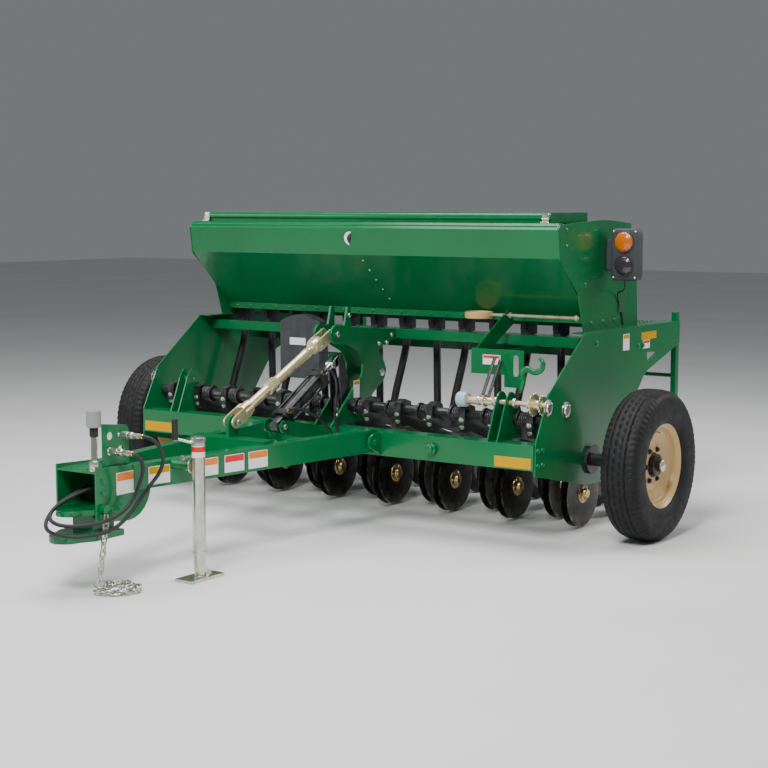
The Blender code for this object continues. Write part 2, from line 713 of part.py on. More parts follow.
def stand(sign):
    """The pair of plates on the front tube that steady the rockshaft and the drive shaft."""
    base = FRONT_TUBE_Z[1] - 0.001
    outline = [(FRONT_TUBE_Y[0] + 0.002, base), (-0.492, 0.690)]
    outline += circle(DRIVE_Y + 0.012, DRIVE_Z + 0.006, 0.046, 6, pi * 0.80, pi * 0.15)
    outline += [(-0.340, 0.640), (-0.335, base)]
    holes = [
        circle(ROCKSHAFT_Y, ROCKSHAFT_Z, ROCKSHAFT_RADIUS + BEARING_CLEARANCE, 16),
        circle(DRIVE_Y, DRIVE_Z, DRIVE_RADIUS + BEARING_CLEARANCE, 12),
    ]
    return [plate("yz", outline, sign * x, STAND_THICKNESS, holes) for x in STAND_X]


def drive_shaft():
    """The cross shaft that the wheel's chain turns, with its cap, collar and two sprockets."""
    end = PLATE_INNER_X - GAP
    profile = [
        (0, end), (DRIVE_RADIUS, end),
        (DRIVE_RADIUS, 1.222), (0.050, 1.222), (0.050, 1.212), (0.026, 1.212), (0.026, 1.176),
        (0.058, 1.176), (0.058, 1.166), (0.026, 1.166), (0.026, 1.140), (DRIVE_RADIUS, 1.140),
        (DRIVE_RADIUS, 0.945), (0.019, 0.945), (0.019, 0.800), (0.031, 0.800), (0.034, 0.790),
        (0.034, 0.752), (0.030, 0.744), (0, 0.744),
    ]
    return turned(profile, (0, DRIVE_Y, DRIVE_Z), 14)


def drive_bracket():
    """The box bracket between the middle tube and the drive shaft, with its diagonal strap."""
    back = MID_TUBE_Y[0] - GAP
    front = box((0.730, 0.930), (-0.306, -0.300), (0.800, 0.925))
    arms = [box((x, x + 0.006), (-0.302, back), (0.890, 0.925)) for x in (0.730, 0.924)]
    slotted = plate(
        "xz",
        [(0.920, 0.740), (1.030, 0.740), (1.030, 0.925), (0.920, 0.925)],
        -0.303,
        0.006,
        [bar((0.985, 0.810), (0.985, 0.885), 0.032)],
    )
    strap = plate(
        "yz", [(-0.306, 0.880), (-0.306, 0.930), (0.010, 1.110), (0.060, 1.030), (-0.240, 0.880)], 0.763, 0.006
    )
    tab = box((0.731, 0.766), (-0.306, -0.240), (0.880, 0.890))
    return joined(front, *arms, slotted, strap, tab)


def control_rod():
    return rod((0.7665, -0.005, 1.072), (HOPPER_END_X - HOPPER_END_THICKNESS - GAP, -0.005, 1.072), 0.008, 10)


def gear_cover():
    """The closed cover in front of the middle tube, with an arched top."""
    left, right, low, shoulder = -0.672, -0.402, 0.675, 0.990
    arch = []
    for k in range(7):
        t = k / 6
        arch.append((right + (left - right) * t, shoulder + 0.040 * sin(pi * t)))
    outline = [(left, low), (right, low), *arch]
    depth = 0.075
    return plate("xz", outline, MID_TUBE_Y[0] - GAP - depth / 2, depth)


# ---- tongue ----
def rail(sign):
    """A box rail of the A-shaped tongue."""
    rear = TONGUE_PIVOT_Y + 0.052
    rear_x, front_x = rail_outer_x(rear), RAIL_FRONT_X
    outline = [
        (sign * front_x, RAIL_FRONT_Y), (sign * rear_x, rear),
        (sign * (rear_x - RAIL_THICKNESS), rear), (sign * (front_x - RAIL_THICKNESS), RAIL_FRONT_Y),
    ]
    body = plate("xy", outline, RAIL_TOP_Z - RAIL_HEIGHT / 2, RAIL_HEIGHT)
    ends = span(0.2, 0.45, sign)
    hole = rod(
        (ends[0], TONGUE_PIVOT_Y, TONGUE_PIVOT_Z), (ends[1], TONGUE_PIVOT_Y, TONGUE_PIVOT_Z), PIN_RADIUS + PIN_CLEARANCE
    )
    return cut(body, hole)


def hitch_side(sign):
    """A side plate of the hitch, deep at the front and curved up to the rail."""
    top = RAIL_TOP_Z + 0.014
    outline = [(-2.325, 0.300), (-2.325, top), (-1.930, RAIL_TOP_Z - 0.004), (-1.930, 0.420)]
    outline += circle(-2.130, 0.420, 0.140, 6, 0.0, -pi / 2)
    middle = sign * (HITCH_PLATE_X - HITCH_PLATE_THICKNESS / 2)
    return plate("yz", outline, middle, HITCH_PLATE_THICKNESS)


def tongue():
    """Rails, hitch plates and cross members, welded together, with the jack's mount."""
    inner = HITCH_PLATE_X - HITCH_PLATE_THICKNESS + 0.001
    bulkhead = box((-inner, inner), (-2.120, -2.108), (0.300, 0.510))
    deck = box((-inner, inner), (-2.323, -2.060), (DECK_TOP_Z - 0.008, DECK_TOP_Z))
    half = rail_outer_x(CROSS_MEMBER_Y[1]) - RAIL_THICKNESS / 2
    cross = box((-half, half), CROSS_MEMBER_Y, (0.430, 0.535))
    mount = rod((rail_outer_x(JACK_Y) - 0.020, JACK_Y, JACK_PIVOT_Z), (0.2640, JACK_Y, JACK_PIVOT_Z), 0.026, 14)
    lug = plate("yz", [*circle(LINK_LOW_Y, LINK_LOW_Z, 0.034, 8, 0, pi), (-1.326, 0.534), (-1.256, 0.534)], 0, 0.020)
    pin = rod((-0.046, LINK_LOW_Y, LINK_LOW_Z), (0.046, LINK_LOW_Y, LINK_LOW_Z), 0.0125)
    return joined(
        rail(1), rail(-1), hitch_side(1), hitch_side(-1), bulkhead, deck, cross, mount, lug, pin, chain_pin()
    )


def hitch_clevis():
    """Two flat jaws with a pin hole, joined by a block between the hitch plates."""
    inner = HITCH_PLATE_X - HITCH_PLATE_THICKNESS - GAP
    tip = -FRONT_REACH
    jaw_radius = 0.075
    lower = [(-inner, -2.150), (-inner, -2.320)]
    lower += circle(0, tip + jaw_radius, jaw_radius, 10, pi, 2 * pi)
    lower += [(inner, -2.320), (inner, -2.150)]
    upper = [(-inner, -2.150), (-inner, -2.300)]
    upper += circle(0, tip + jaw_radius + 0.030, jaw_radius - 0.010, 10, pi, 2 * pi)
    upper += [(inner, -2.300), (inner, -2.150)]
    hole = [circle(0, tip + jaw_radius, 0.0165, 14)]
    jaws = [plate("xy", lower, 0.232, 0.028, hole), plate("xy", upper, 0.339, 0.024, hole)]
    block = box((-0.060, 0.060), (-2.290, -2.160), (0.240, 0.335))
    return joined(jaws[0], jaws[1], block)


def hose_rack():
    """The plate with four keyholes that parks the hose couplers."""
    base = DECK_TOP_Z + GAP
    outline = [(-2.262, base), (-2.100, base), (-2.100, 0.665)]
    outline += circle(-2.125, 0.670, 0.025, 4, 0, pi / 2)
    outline += [(-2.262, 0.712)]
    holes = [circle(y, z, 0.0175, 10) for y in (-2.215, -2.150) for z in (0.590, 0.655)]
    return plate("yz", outline, 0.095, 0.006, holes)


def cap_post():
    """The stub post at the hitch with its round cap."""
    foot = DECK_TOP_Z + GAP
    profile = [
        (0, 0.778), (0.028, 0.778), (0.032, 0.770), (0.032, 0.702), (0.019, 0.700), (0.019, 0.664),
        (0.014, 0.660), (0.014, 0.560), (0.022, 0.556), (0.022, foot), (0, foot),
    ]
    return turned(profile, (0.085, -2.298, 0), 12, (0, 0, 1))


def link_frame():
    """The top link's lower pin, its angle and its length."""
    low, high = (LINK_LOW_Y, LINK_LOW_Z), (LINK_HIGH_Y, LINK_HIGH_Z)
    return low, atan2(high[1] - low[1], high[0] - low[0]), hypot(high[0] - low[0], high[1] - low[1])


def link_point(reach):
    low, angle, _ = link_frame()
    return (0, *polar(low, angle, reach))


def turnbuckle_tube():
    """The lower half of the top link: a fork on the tongue's lug and the long sleeve."""
    low, angle, length = link_frame()
    cheeks = []
    for sign in (1, -1):
        outline = bar(low, polar(low, angle, 0.110), 0.060)
        hole = circle(*low, 0.0125 + PIN_CLEARANCE, 12)
        cheeks.append(plate("yz", outline, sign * 0.025, 0.008, [hole]))
    bridge = rod(link_point(0.083), link_point(0.143), 0.0325, 14)
    sleeve = rod(link_point(0.120), link_point(length - 0.190), LINK_TUBE_RADIUS, 14)
    body = joined(sleeve, bridge, *cheeks)
    return cut(body, rod(link_point(0.200), link_point(length - 0.180), LINK_ROD_RADIUS + PIN_CLEARANCE, 12))


def turnbuckle_rod():
    """The upper half of the top link: a screwed rod in the sleeve and a fork on the mast's pin."""
    low, angle, length = link_frame()
    high = (LINK_HIGH_Y, LINK_HIGH_Z)
    cheeks = []
    for sign in (1, -1):
        outline = bar(polar(low, angle, length - 0.120), high, 0.060)
        hole = circle(*high, 0.0125 + EYE_CLEARANCE, 12)
        cheeks.append(plate("yz", outline, sign * 0.027, 0.008, [hole]))
    bridge = rod(link_point(length - 0.147), link_point(length - 0.083), 0.0345, 14)
    screw = rod(link_point(0.300), link_point(length - 0.130), LINK_ROD_RADIUS, 12)
    return joined(screw, bridge, *cheeks)


def cylinder_frame():
    low, high = (CYLINDER_LOW_Y, CYLINDER_LOW_Z), (CYLINDER_HIGH_Y, CYLINDER_HIGH_Z)
    return low, atan2(high[1] - low[1], high[0] - low[0]), hypot(high[0] - low[0], high[1] - low[1])


def cylinder_point(reach, x=0.0, across=0.0):
    low, angle, _ = cylinder_frame()
    return (x, *polar(low, angle, reach, across))


def lift_cylinder():
    """The tie-rod cylinder: its eye on the lower pin, two heads, the barrel and the four tie rods."""
    low, angle, _ = cylinder_frame()
    hole = circle(*low, 0.0125 + PIN_CLEARANCE, 12)
    eye = plate("yz", bar(low, polar(low, angle, 0.060), 0.046), 0, 0.046, [hole])
    barrel = rod(cylinder_point(0.070), cylinder_point(BARREL_END - 0.010), BARREL_RADIUS, 16)
    heads = []
    for start_reach, end_reach in ((0.055, 0.095), (BARREL_END - 0.045, BARREL_END)):
        outline = [
            polar(low, angle, start_reach, -0.040), polar(low, angle, end_reach, -0.040),
            polar(low, angle, end_reach, 0.040), polar(low, angle, start_reach, 0.040),
        ]
        heads.append(plate("yz", outline, 0, 0.080))
    ties = []
    for x in (-0.032, 0.032):
        for across in (-0.032, 0.032):
            ties.append(
                rod(cylinder_point(0.080, x, across), cylinder_point(BARREL_END + 0.012, x, across), 0.006, 8)
            )
    ports = []
    for reach in (0.075, BARREL_END - 0.022):
        ports.append(rod(cylinder_point(reach, 0.020, 0.020), cylinder_point(reach, 0.062, 0.052), 0.011, 10))
    body = joined(barrel, eye, *heads, *ties, *ports)
    return cut(body, rod(cylinder_point(0.115), cylinder_point(BARREL_END + 0.020), CYLINDER_ROD_RADIUS + 0.001, 14))


def cylinder_rod():
    """The piston rod and its eye on the crank's pin."""
    low, angle, length = cylinder_frame()
    high = (CYLINDER_HIGH_Y, CYLINDER_HIGH_Z)
    hole = circle(*high, 0.010 + EYE_CLEARANCE, 12)
    eye = plate("yz", bar(polar(low, angle, length - 0.045), high, 0.044), 0, 0.044, [hole])
    shaft = rod(cylinder_point(0.230), cylinder_point(length - 0.030), CYLINDER_ROD_RADIUS, 14)
    return joined(shaft, eye)


# ---- jack ----
def jack_tube():
    """The jack's outer tube with its flange on the mount, and its capped top."""
    outer = JACK_TUBE_RADIUS
    bore = outer - JACK_WALL
    profile = [
        (0, 0.628), (0.030, 0.628), (0.034, 0.618), (0.034, JACK_TOP_Z), (outer, JACK_TOP_Z - 0.004),
        (outer, JACK_TUBE_FOOT_Z), (bore, JACK_TUBE_FOOT_Z), (bore, JACK_TOP_Z - 0.020), (0, JACK_TOP_Z - 0.020),
    ]
    body = turned(profile, (JACK_X, JACK_Y, 0), 16, (0, 0, 1))
    flange_start = 0.2640 + 0.0005
    flange = rod((flange_start, JACK_Y, JACK_PIVOT_Z), (JACK_X - bore - 0.001, JACK_Y, JACK_PIVOT_Z), 0.036, 14)
    return joined(body, flange)


def jack_leg():
    """The jack's inner leg with its foot plate."""
    leg = rod((JACK_X, JACK_Y, 0.006), (JACK_X, JACK_Y, 0.450), JACK_LEG_RADIUS, 16)
    foot = box(
        (JACK_X - JACK_FOOT_WIDTH / 2, JACK_X + JACK_FOOT_WIDTH / 2),
        (JACK_Y - JACK_FOOT_LENGTH / 2, JACK_Y + JACK_FOOT_LENGTH / 2),
        (0.0, JACK_FOOT_THICKNESS),
    )
    return joined(foot, leg)


def jack_crank():
    """The crank on the jack's head, with its upright grip."""
    shoulder = (JACK_X, JACK_Y - 0.034 - GAP, 0.6130)
    elbow = (JACK_X, JACK_Y - 0.150, 0.640)
    arm = tube([shoulder, (JACK_X, JACK_Y - 0.060, 0.6130), elbow], 0.007, 2)
    grip = rod((JACK_X, JACK_Y - 0.150, 0.630), (JACK_X, JACK_Y - 0.150, 0.722), 0.013, 10)
    return joined(arm, grip)


# ---- lamps ----
def lamp(sign):
    """A lamp housing on the hopper's end, with its foot and its two round lenses."""
    inner = HOPPER_END_X + GAP
    housing = box(span(inner + 0.035, inner + 0.185, sign), (0.255, 0.325), (1.250, 1.515))
    foot = box(span(inner, inner + 0.040, sign), (0.275, 0.315), (1.300, 1.460))
    middle = sign * (inner + 0.110)
    lenses = []
    for z, radius in ((1.448, 0.048), (1.328, 0.046)):
        lenses.append(rod((middle, 0.262, z), (middle, 0.232, z), radius, 16, radius * 0.86))
    return joined(housing, foot, *lenses)


# ---- hitch hoses and chain ----
HOSE_RADIUS = 0.0085
OUTER_HOSE = [
    (0.2054, -2.150, 0.655), (0.2354, -2.150, 0.655), (0.262, -2.125, 0.640), (0.272, -2.090, 0.600),
    (0.262, -2.065, 0.545), (0.235, -2.060, 0.490), (0.205, -2.080, 0.440), (0.186, -2.120, 0.385),
    (0.176, -2.180, 0.325), (0.172, -2.260, 0.280), (0.160, -2.340, 0.262), (0.126, -2.420, 0.258),
    (0.070, -2.468, 0.262), (0.000, -2.479, 0.272), (-0.052, -2.454, 0.292), (-0.080, -2.405, 0.325),
    (-0.068, -2.350, 0.372), (-0.044, -2.290, 0.404), (-0.030, -2.220, 0.425), (-0.030, -2.1207, 0.425),
]
INNER_HOSE = [
    (0.2054, -2.215, 0.590), (0.2284, -2.215, 0.590), (0.245, -2.185, 0.560), (0.232, -2.160, 0.510),
    (0.208, -2.155, 0.455), (0.190, -2.170, 0.400), (0.178, -2.210, 0.350), (0.166, -2.280, 0.318),
    (0.150, -2.360, 0.306), (0.108, -2.430, 0.302), (0.050, -2.470, 0.306), (-0.005, -2.470, 0.322),
    (-0.035, -2.435, 0.348), (-0.030, -2.380, 0.380), (0.000, -2.310, 0.412), (0.025, -2.220, 0.432),
    (0.030, -2.1207, 0.432),
]


def smooth_route(points, spacing):
    """Points along a route: straight first and last legs, even steps on a smooth curve between them."""
    route = list(points)
    fine = []
    for k in range(1, len(route) - 2):
        before, here, after, beyond = (Vector(p) for p in route[k - 1:k + 3])
        for n in range(12):
            t = n / 12
            fine.append(
                0.5 * (2 * here + (after - before) * t + (2 * before - 5 * here + 4 * after - beyond) * t * t
                       + (3 * here - before - 3 * after + beyond) * t ** 3)
            )
    fine.append(Vector(points[-2]))
    lengths = [0.0]
    for a, b in zip(fine, fine[1:]):
        lengths.append(lengths[-1] + (b - a).length)
    count = max(2, round(lengths[-1] / spacing))
    even, k = [], 0
    for n in range(count + 1):
        goal = lengths[-1] * n / count
        while k < len(fine) - 2 and lengths[k + 1] < goal:
            k += 1
        share = (goal - lengths[k]) / (lengths[k + 1] - lengths[k])
        even.append(fine[k].lerp(fine[k + 1], share))
    return [Vector(points[0]), *even, Vector(points[-1])]


def hitch_hose(route):
    return tube(smooth_route(route, 0.046), HOSE_RADIUS, 2)


def coupler(y, z):
    """A quick coupler parked through a hole of the rack."""
    profile = [
        (0, 0.2047), (0.0095, 0.2047), (0.0120, 0.190), (0.0120, 0.170), (0.0150, 0.165), (0.0150, 0.102),
        (0.0110, 0.100), (0.0110, 0.070), (0, 0.070),
    ]
    return turned(profile, (0, y, z), 10)


CHAIN_TOP = (0.134, -2.285, 0.3305)
CHAIN_RADIUS = 0.009


def chain_pin():
    """The bolt and eye on the hitch plate that hold the safety chain."""
    start_x = HITCH_PLATE_X - 0.002
    y, z = CHAIN_TOP[1], CHAIN_TOP[2] + 0.0215
    return rod((start_x, y, z), (start_x + 0.026, y, z), 0.021, 12)


def chain_drop():
    x, y, z = CHAIN_TOP
    points = [
        (x, y, z), (x, y - 0.001, z - 0.030), (x + 0.005, y - 0.030, 0.160), (x + 0.008, y - 0.050, 0.060),
        (x + 0.008, y - 0.050, 0.0292),
    ]
    return tube(smooth_route(points, 0.045), CHAIN_RADIUS, 2)


def chain_pile():
    """The spare chain in a low heap on the ground."""
    x, y = CHAIN_TOP[0] + 0.044, CHAIN_TOP[1] + 0.020
    profile = [(0, 0.034), (0.050, 0.032), (0.085, 0.026), (0.100, 0.002), (0, 0.002)]
    return turned(profile, (x, y, 0), 14, (0, 0, 1))


def cylinder_hose(reach, route):
    """A short hose from one port of the cylinder into the frame."""
    points = [cylinder_point(reach, 0.0632, 0.0530), cylinder_point(reach, 0.0782, 0.0644), *route]
    return tube(smooth_route(points, 0.036), 0.0065, 2)


BASE_HOSE = [
    (0.085, -0.860, 0.625), (0.105, -0.800, 0.600), (0.115, -0.730, 0.560), (0.115, -0.680, 0.520),
    (0.115, -0.630, 0.470), (0.115, -0.600, 0.450), (0.115, -0.5736, 0.450),
]
HEAD_HOSE = [
    (0.090, -0.600, 0.790), (0.112, -0.600, 0.740), (0.125, -0.620, 0.660), (0.130, -0.640, 0.570),
    (0.138, -0.630, 0.500), (0.140, -0.600, 0.460), (0.140, -0.5736, 0.460),
]


def build():
    """Make every piece of the machine."""
    pivot_tongue = (0, TONGUE_PIVOT_Y, TONGUE_PIVOT_Z)
    pivot_rock = (0, ROCKSHAFT_Y, ROCKSHAFT_Z)
    piece("front_tube", front_tube(), GREEN)
    piece("rear_tube", cross_tube(REAR_TUBE_Y, REAR_TUBE_Z), GREEN)
    piece("mid_tube", cross_tube(MID_TUBE_Y, MID_TUBE_Z), GREEN)
    for side, sign in sides():
        wheel_pivot = (sign * WHEEL_X, 0, TYRE_RADIUS)
        piece(f"end_plate_{side}", end_plate(sign), GREEN)
        piece(f"spindle_{side}", spindle(sign), BLACK)
        piece(f"tyre_{side}", tyre(sign), RUBBER, wheel_pivot)
        piece(f"rim_{side}", rim(sign), CREAM, wheel_pivot)
        piece(f"hopper_end_{side}", hopper_end(sign), GREEN)
        piece(f"lamp_{side}", lamp(sign), GREY)
        piece(f"ladder_{side}", ladder(sign), GREEN)
    piece("hopper_trough", hopper_trough(), GREEN)
    piece("hopper_lid", hopper_lid(), GREEN, (0, LID_HINGE_Y, HOPPER_TOP_Z + 0.014))
    piece("walkboard", walkboard(), GREEN)
    piece("mast", mast(), GREEN)
    piece("drive_bracket", drive_bracket(), GREEN)
    piece("drive_shaft", drive_shaft(), ZINC, (0, DRIVE_Y, DRIVE_Z))
    piece("control_rod", control_rod(), ZINC)
    piece("gear_cover", gear_cover(), GREY)
    bar_shape = cup_bar()
    piece("seed_tubes", joined(bar_shape, *[t for t in seed_tubes()]), BLACK)
    piece("opener_gang", opener_gang(), BLACK, pivot_rock)
    for i, x in enumerate(row_places()):
        number = f"{i + 1:02d}"
        disc_place = (x, row_y(i), DISC_Z)
        piece(f"discs_{number}", disc_pair(x, row_y(i)), STEEL, disc_place)
    piece("tongue", tongue(), GREEN, pivot_tongue)
    piece("hitch_clevis", hitch_clevis(), GREEN, pivot_tongue)
    piece("hose_rack", hose_rack(), GREEN, pivot_tongue)
    piece("cap_post", cap_post(), PALE, pivot_tongue)
    piece("turnbuckle_tube", turnbuckle_tube(), ZINC, (0, LINK_LOW_Y, LINK_LOW_Z))
    piece("turnbuckle_rod", turnbuckle_rod(), ZINC, (0, LINK_HIGH_Y, LINK_HIGH_Z))
    piece("lift_cylinder", lift_cylinder(), BLACK, (0, CYLINDER_LOW_Y, CYLINDER_LOW_Z))
    piece("cylinder_rod", cylinder_rod(), ZINC, (0, CYLINDER_HIGH_Y, CYLINDER_HIGH_Z))
    jack_pivot = (JACK_X, JACK_Y, JACK_PIVOT_Z)
    piece("jack_tube", jack_tube(), PALE, jack_pivot)
    piece("jack_leg", jack_leg(), PALE, jack_pivot)
    piece("jack_crank", jack_crank(), BLACK, jack_pivot)
    piece("hitch_hose_outer", hitch_hose(OUTER_HOSE), BLACK, pivot_tongue)
    piece("hitch_hose_inner", hitch_hose(INNER_HOSE), BLACK, pivot_tongue)
    piece("chain_drop", chain_drop(), ZINC, pivot_tongue)
    piece("chain_pile", chain_pile(), ZINC, pivot_tongue)
    piece("cylinder_hose_base", cylinder_hose(0.075, BASE_HOSE), BLACK)
    piece("cylinder_hose_head", cylinder_hose(BARREL_END - 0.022, HEAD_HOSE), BLACK)
    piece("coupler_outer", coupler(-2.150, 0.655), ZINC, pivot_tongue)
    piece("coupler_inner", coupler(-2.215, 0.590), ZINC, pivot_tongue)


build()
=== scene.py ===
"""Seed drill: the looks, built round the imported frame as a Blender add-on."""

import json
import math

import bmesh
import bpy
import numpy as np
from mathutils import Matrix, Vector


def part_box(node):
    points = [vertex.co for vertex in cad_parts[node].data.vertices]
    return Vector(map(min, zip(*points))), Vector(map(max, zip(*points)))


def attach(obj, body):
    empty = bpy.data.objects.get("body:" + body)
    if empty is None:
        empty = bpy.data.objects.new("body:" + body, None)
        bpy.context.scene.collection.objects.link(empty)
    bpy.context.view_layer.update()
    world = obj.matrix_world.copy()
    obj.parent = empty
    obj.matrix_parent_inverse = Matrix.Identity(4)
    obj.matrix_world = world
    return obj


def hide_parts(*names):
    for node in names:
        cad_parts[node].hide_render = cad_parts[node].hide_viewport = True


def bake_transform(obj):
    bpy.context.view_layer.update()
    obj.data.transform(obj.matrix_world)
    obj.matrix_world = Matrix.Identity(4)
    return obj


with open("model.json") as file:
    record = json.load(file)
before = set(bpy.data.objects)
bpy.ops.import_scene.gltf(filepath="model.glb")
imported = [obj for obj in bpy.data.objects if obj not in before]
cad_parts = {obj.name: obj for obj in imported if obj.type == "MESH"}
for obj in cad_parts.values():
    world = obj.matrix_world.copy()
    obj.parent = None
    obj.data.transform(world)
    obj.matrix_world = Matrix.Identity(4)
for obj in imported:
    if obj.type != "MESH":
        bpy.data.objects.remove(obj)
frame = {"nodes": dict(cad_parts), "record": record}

bl_info = {
    "name": "Seed Drill",
    "version": (1, 0, 0),
    "blender": (4, 5, 0),
    "location": "View3D > Sidebar > Seed Drill",
    "description": "Builds the visible pieces of a towed seed drill round its packed frame",
    "category": "Object",
}

RIGHT, FRONT, UP = (1, 0, 0), (0, -1, 0), (0, 0, 1)
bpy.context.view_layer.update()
AXLE = np.array([0.0, 0.7035, 0.0])     # where the wheel axle lies; every place below is counted from it
WHEEL_X, TYRE_RADIUS, TYRE_WIDTH = 1.564, 0.372, 0.2
ROWS = 1.143 - 0.1905 * np.arange(13)
ROW_Y = np.where(np.arange(13) % 2 == 0, 0.08, 0.24)
DISC_Z, DISC_RADIUS = 0.1775, 0.1715
ROCKSHAFT = (-0.4, 0.6)
OUTER_HOSE = [
    (0.2054, -2.15, 0.655), (0.2354, -2.15, 0.655), (0.262, -2.125, 0.64), (0.272, -2.09, 0.6),
    (0.262, -2.065, 0.545), (0.235, -2.06, 0.49), (0.205, -2.08, 0.44), (0.186, -2.12, 0.385),
    (0.176, -2.18, 0.325), (0.172, -2.26, 0.28), (0.16, -2.34, 0.262), (0.126, -2.42, 0.258),
    (0.07, -2.468, 0.262), (0.0, -2.479, 0.272), (-0.052, -2.454, 0.292), (-0.08, -2.405, 0.325),
    (-0.068, -2.35, 0.372), (-0.044, -2.29, 0.404), (-0.03, -2.22, 0.425), (-0.03, -2.1207, 0.425),
]
INNER_HOSE = [
    (0.2054, -2.215, 0.59), (0.2284, -2.215, 0.59), (0.245, -2.185, 0.56), (0.232, -2.16, 0.51),
    (0.208, -2.155, 0.455), (0.19, -2.17, 0.4), (0.178, -2.21, 0.35), (0.166, -2.28, 0.318),
    (0.15, -2.36, 0.306), (0.108, -2.43, 0.302), (0.05, -2.47, 0.306), (-0.005, -2.47, 0.322),
    (-0.035, -2.435, 0.348), (-0.03, -2.38, 0.38), (0.0, -2.31, 0.412), (0.025, -2.22, 0.432),
    (0.03, -2.1207, 0.432),
]
BASE_HOSE = [
    (0.085, -0.86, 0.625), (0.105, -0.8, 0.6), (0.115, -0.73, 0.56), (0.115, -0.68, 0.52),
    (0.115, -0.63, 0.47), (0.115, -0.6, 0.45), (0.115, -0.5736, 0.45),
]
HEAD_HOSE = [
    (0.09, -0.6, 0.79), (0.112, -0.6, 0.74), (0.125, -0.62, 0.66), (0.13, -0.64, 0.57),
    (0.138, -0.63, 0.5), (0.14, -0.6, 0.46), (0.14, -0.5736, 0.46),
]
CYLINDER_LOW, CYLINDER_HIGH = (-0.953, 0.549), (-0.45, 0.84)
LINK_LOW, LINK_HIGH = (-1.29, 0.606), (-0.52, 0.975)
CHAIN_TOP = (0.134, -2.285, 0.3305)
JACK_X, JACK_Y, JACK_SWIVEL_Z = 0.3, -1.88, 0.5405
POST = (0.085, -2.298, 0)               # foot of the capped post at the hitch
COUPLERS = (("outer", -2.15, 0.655, "red_label"), ("inner", -2.215, 0.59, "black_rubber"))
HITCH_BOLTS = [(-2.285, 0.47), (-2.285, 0.42), (-2.19, 0.345), (-2.235, 0.345)]
CUP_Y = 0.2215                          # the line of the metering cups
FEED_SHAFT = (0, -0.45, 0.685)
RATE_Y, RATE_Z = -0.005, 1.072          # the rate rod's line
BLADE_FACE = 0.0214                     # a disc's outer face from the middle of its row
HUB_CIRCLE = 0.0385
PRESS_WHEEL = (0.43, 0.1562)           # how far behind its disc, and how high
LAMP_X, LAMP_FACE_Y = 1.2853, 0.262
PLATE_FACE = 1.2452                     # an end plate's outer face
TUBE_FACE = -0.5731                     # the front tube's front face
MAST_FACE = 0.0583
LATCH_X = 1.08
CAMERA_PLACE, CAMERA_TURN, CAMERA_DIP = (4.9326, -6.5023, 1.6358), 34.43, 6.31
FRAME_WIDTH, FOCAL, SENSOR = 768, 1625.2, 36.0   # the lens is sensor times focal over width
LIGHTS = (
    ("key", (2.4, -5.6, 6.2), 2.2, 700), ("fill", (-5.6, -4.4, 3.2), 3.0, 130),
    ("top", (-0.6, 0.2, 6.0), 4.0, 380), ("back", (4.4, 4.2, 3.4), 2.4, 150),
)
WORLD_COLOUR, WORLD_STRENGTH = (0.82, 0.86, 0.9, 1), 0.22


# ---- surfaces: every one returns (points, quads) ----
def grid(rows, columns, closed=True):
    """Quads over a sheet of rows x columns points; closed joins the last column to the first."""
    i = np.arange(rows - 1)[:, None]
    j = np.arange(columns if closed else columns - 1)[None, :]
    k = (j + 1) % columns
    corners = [i * columns + j, i * columns + k, (i + 1) * columns + k, (i + 1) * columns + j]
    return np.stack(corners, -1).reshape(-1, 4)


def axes(direction, across=None):
    """Three unit rows: local x near `across`, local y, and local z along `direction`."""
    w = np.asarray(direction, float)
    w = w / np.linalg.norm(w)
    if across is None:
        across = RIGHT if abs(w[0]) < 0.9 else (0, 1, 0)
    u = np.asarray(across, float) - np.dot(across, w) * w
    u = u / np.linalg.norm(u)
    return np.stack([u, np.cross(w, u), w])


def merge(*shells):
    """Several surfaces as one: points stacked, quads shifted by the points before them."""
    counts = np.cumsum([0] + [len(points) for points, _ in shells])
    quads = [quads + count for (_, quads), count in zip(shells, counts)]
    return np.concatenate([points for points, _ in shells]), np.concatenate(quads)


def repeat(shell, places):
    """One surface put down at every place: p + place, quads shifted by the points of each copy."""
    points, quads = shell
    places = np.asarray(places, float).reshape(-1, 3)
    shifts = np.arange(len(places))[:, None, None] * len(points)
    return (places[:, None] + points[None]).reshape(-1, 3), (quads[None] + shifts).reshape(-1, 4)


def soften(line, cut):
    """A line with each corner replaced by three points: p + cut towards each neighbour, and between them."""
    p = np.asarray(line, float)

    def towards(neighbour):
        step = neighbour - p
        size = np.maximum(np.linalg.norm(step, axis=1), 1e-9)
        return p + step * (np.minimum(cut, 0.45 * size) / size)[:, None]

    first, last = towards(np.roll(p, 1, 0)), towards(np.roll(p, -1, 0))
    rounded = np.stack([first, (first + last + 2 * p) / 4, last], 1)
    return np.concatenate([p[:1], rounded[1:-1].reshape(-1, p.shape[1]), p[-1:]])


def lathe(profile, centre, direction=RIGHT, steps=40):
    """A turned surface: (r cos a, r sin a, h) for each (r, h) of the profile, about `direction`."""
    radius, height = np.asarray(profile, float).T
    angle = circle(steps)
    flat = radius[:, None] * np.cos(angle), radius[:, None] * np.sin(angle)
    local = np.stack([*flat, np.repeat(height[:, None], steps, 1)], -1)
    return local.reshape(-1, 3) @ axes(direction) + centre, grid(len(radius), steps)


def turned(profile, centre, direction=RIGHT, steps=40, cut=0.001):
    """A turned surface whose profile has each corner cut back by `cut`."""
    return lathe(soften(profile, cut), centre, direction, steps)


def band(inner, outer, low, high):
    """The profile of a ring: up from the inner radius, along the outer one and down again."""
    return [(inner, low), (outer, low), (outer, high), (inner, high)]


def circle(count):
    """Angles at even steps round a circle."""
    return np.linspace(0, 2 * np.pi, count, endpoint=False)


def ring_of(turn, radius, reach):
    """Places round the x axis: (reach, r cos t, r sin t)."""
    return np.stack([0 * turn + reach, radius * np.cos(turn), radius * np.sin(turn)], -1)


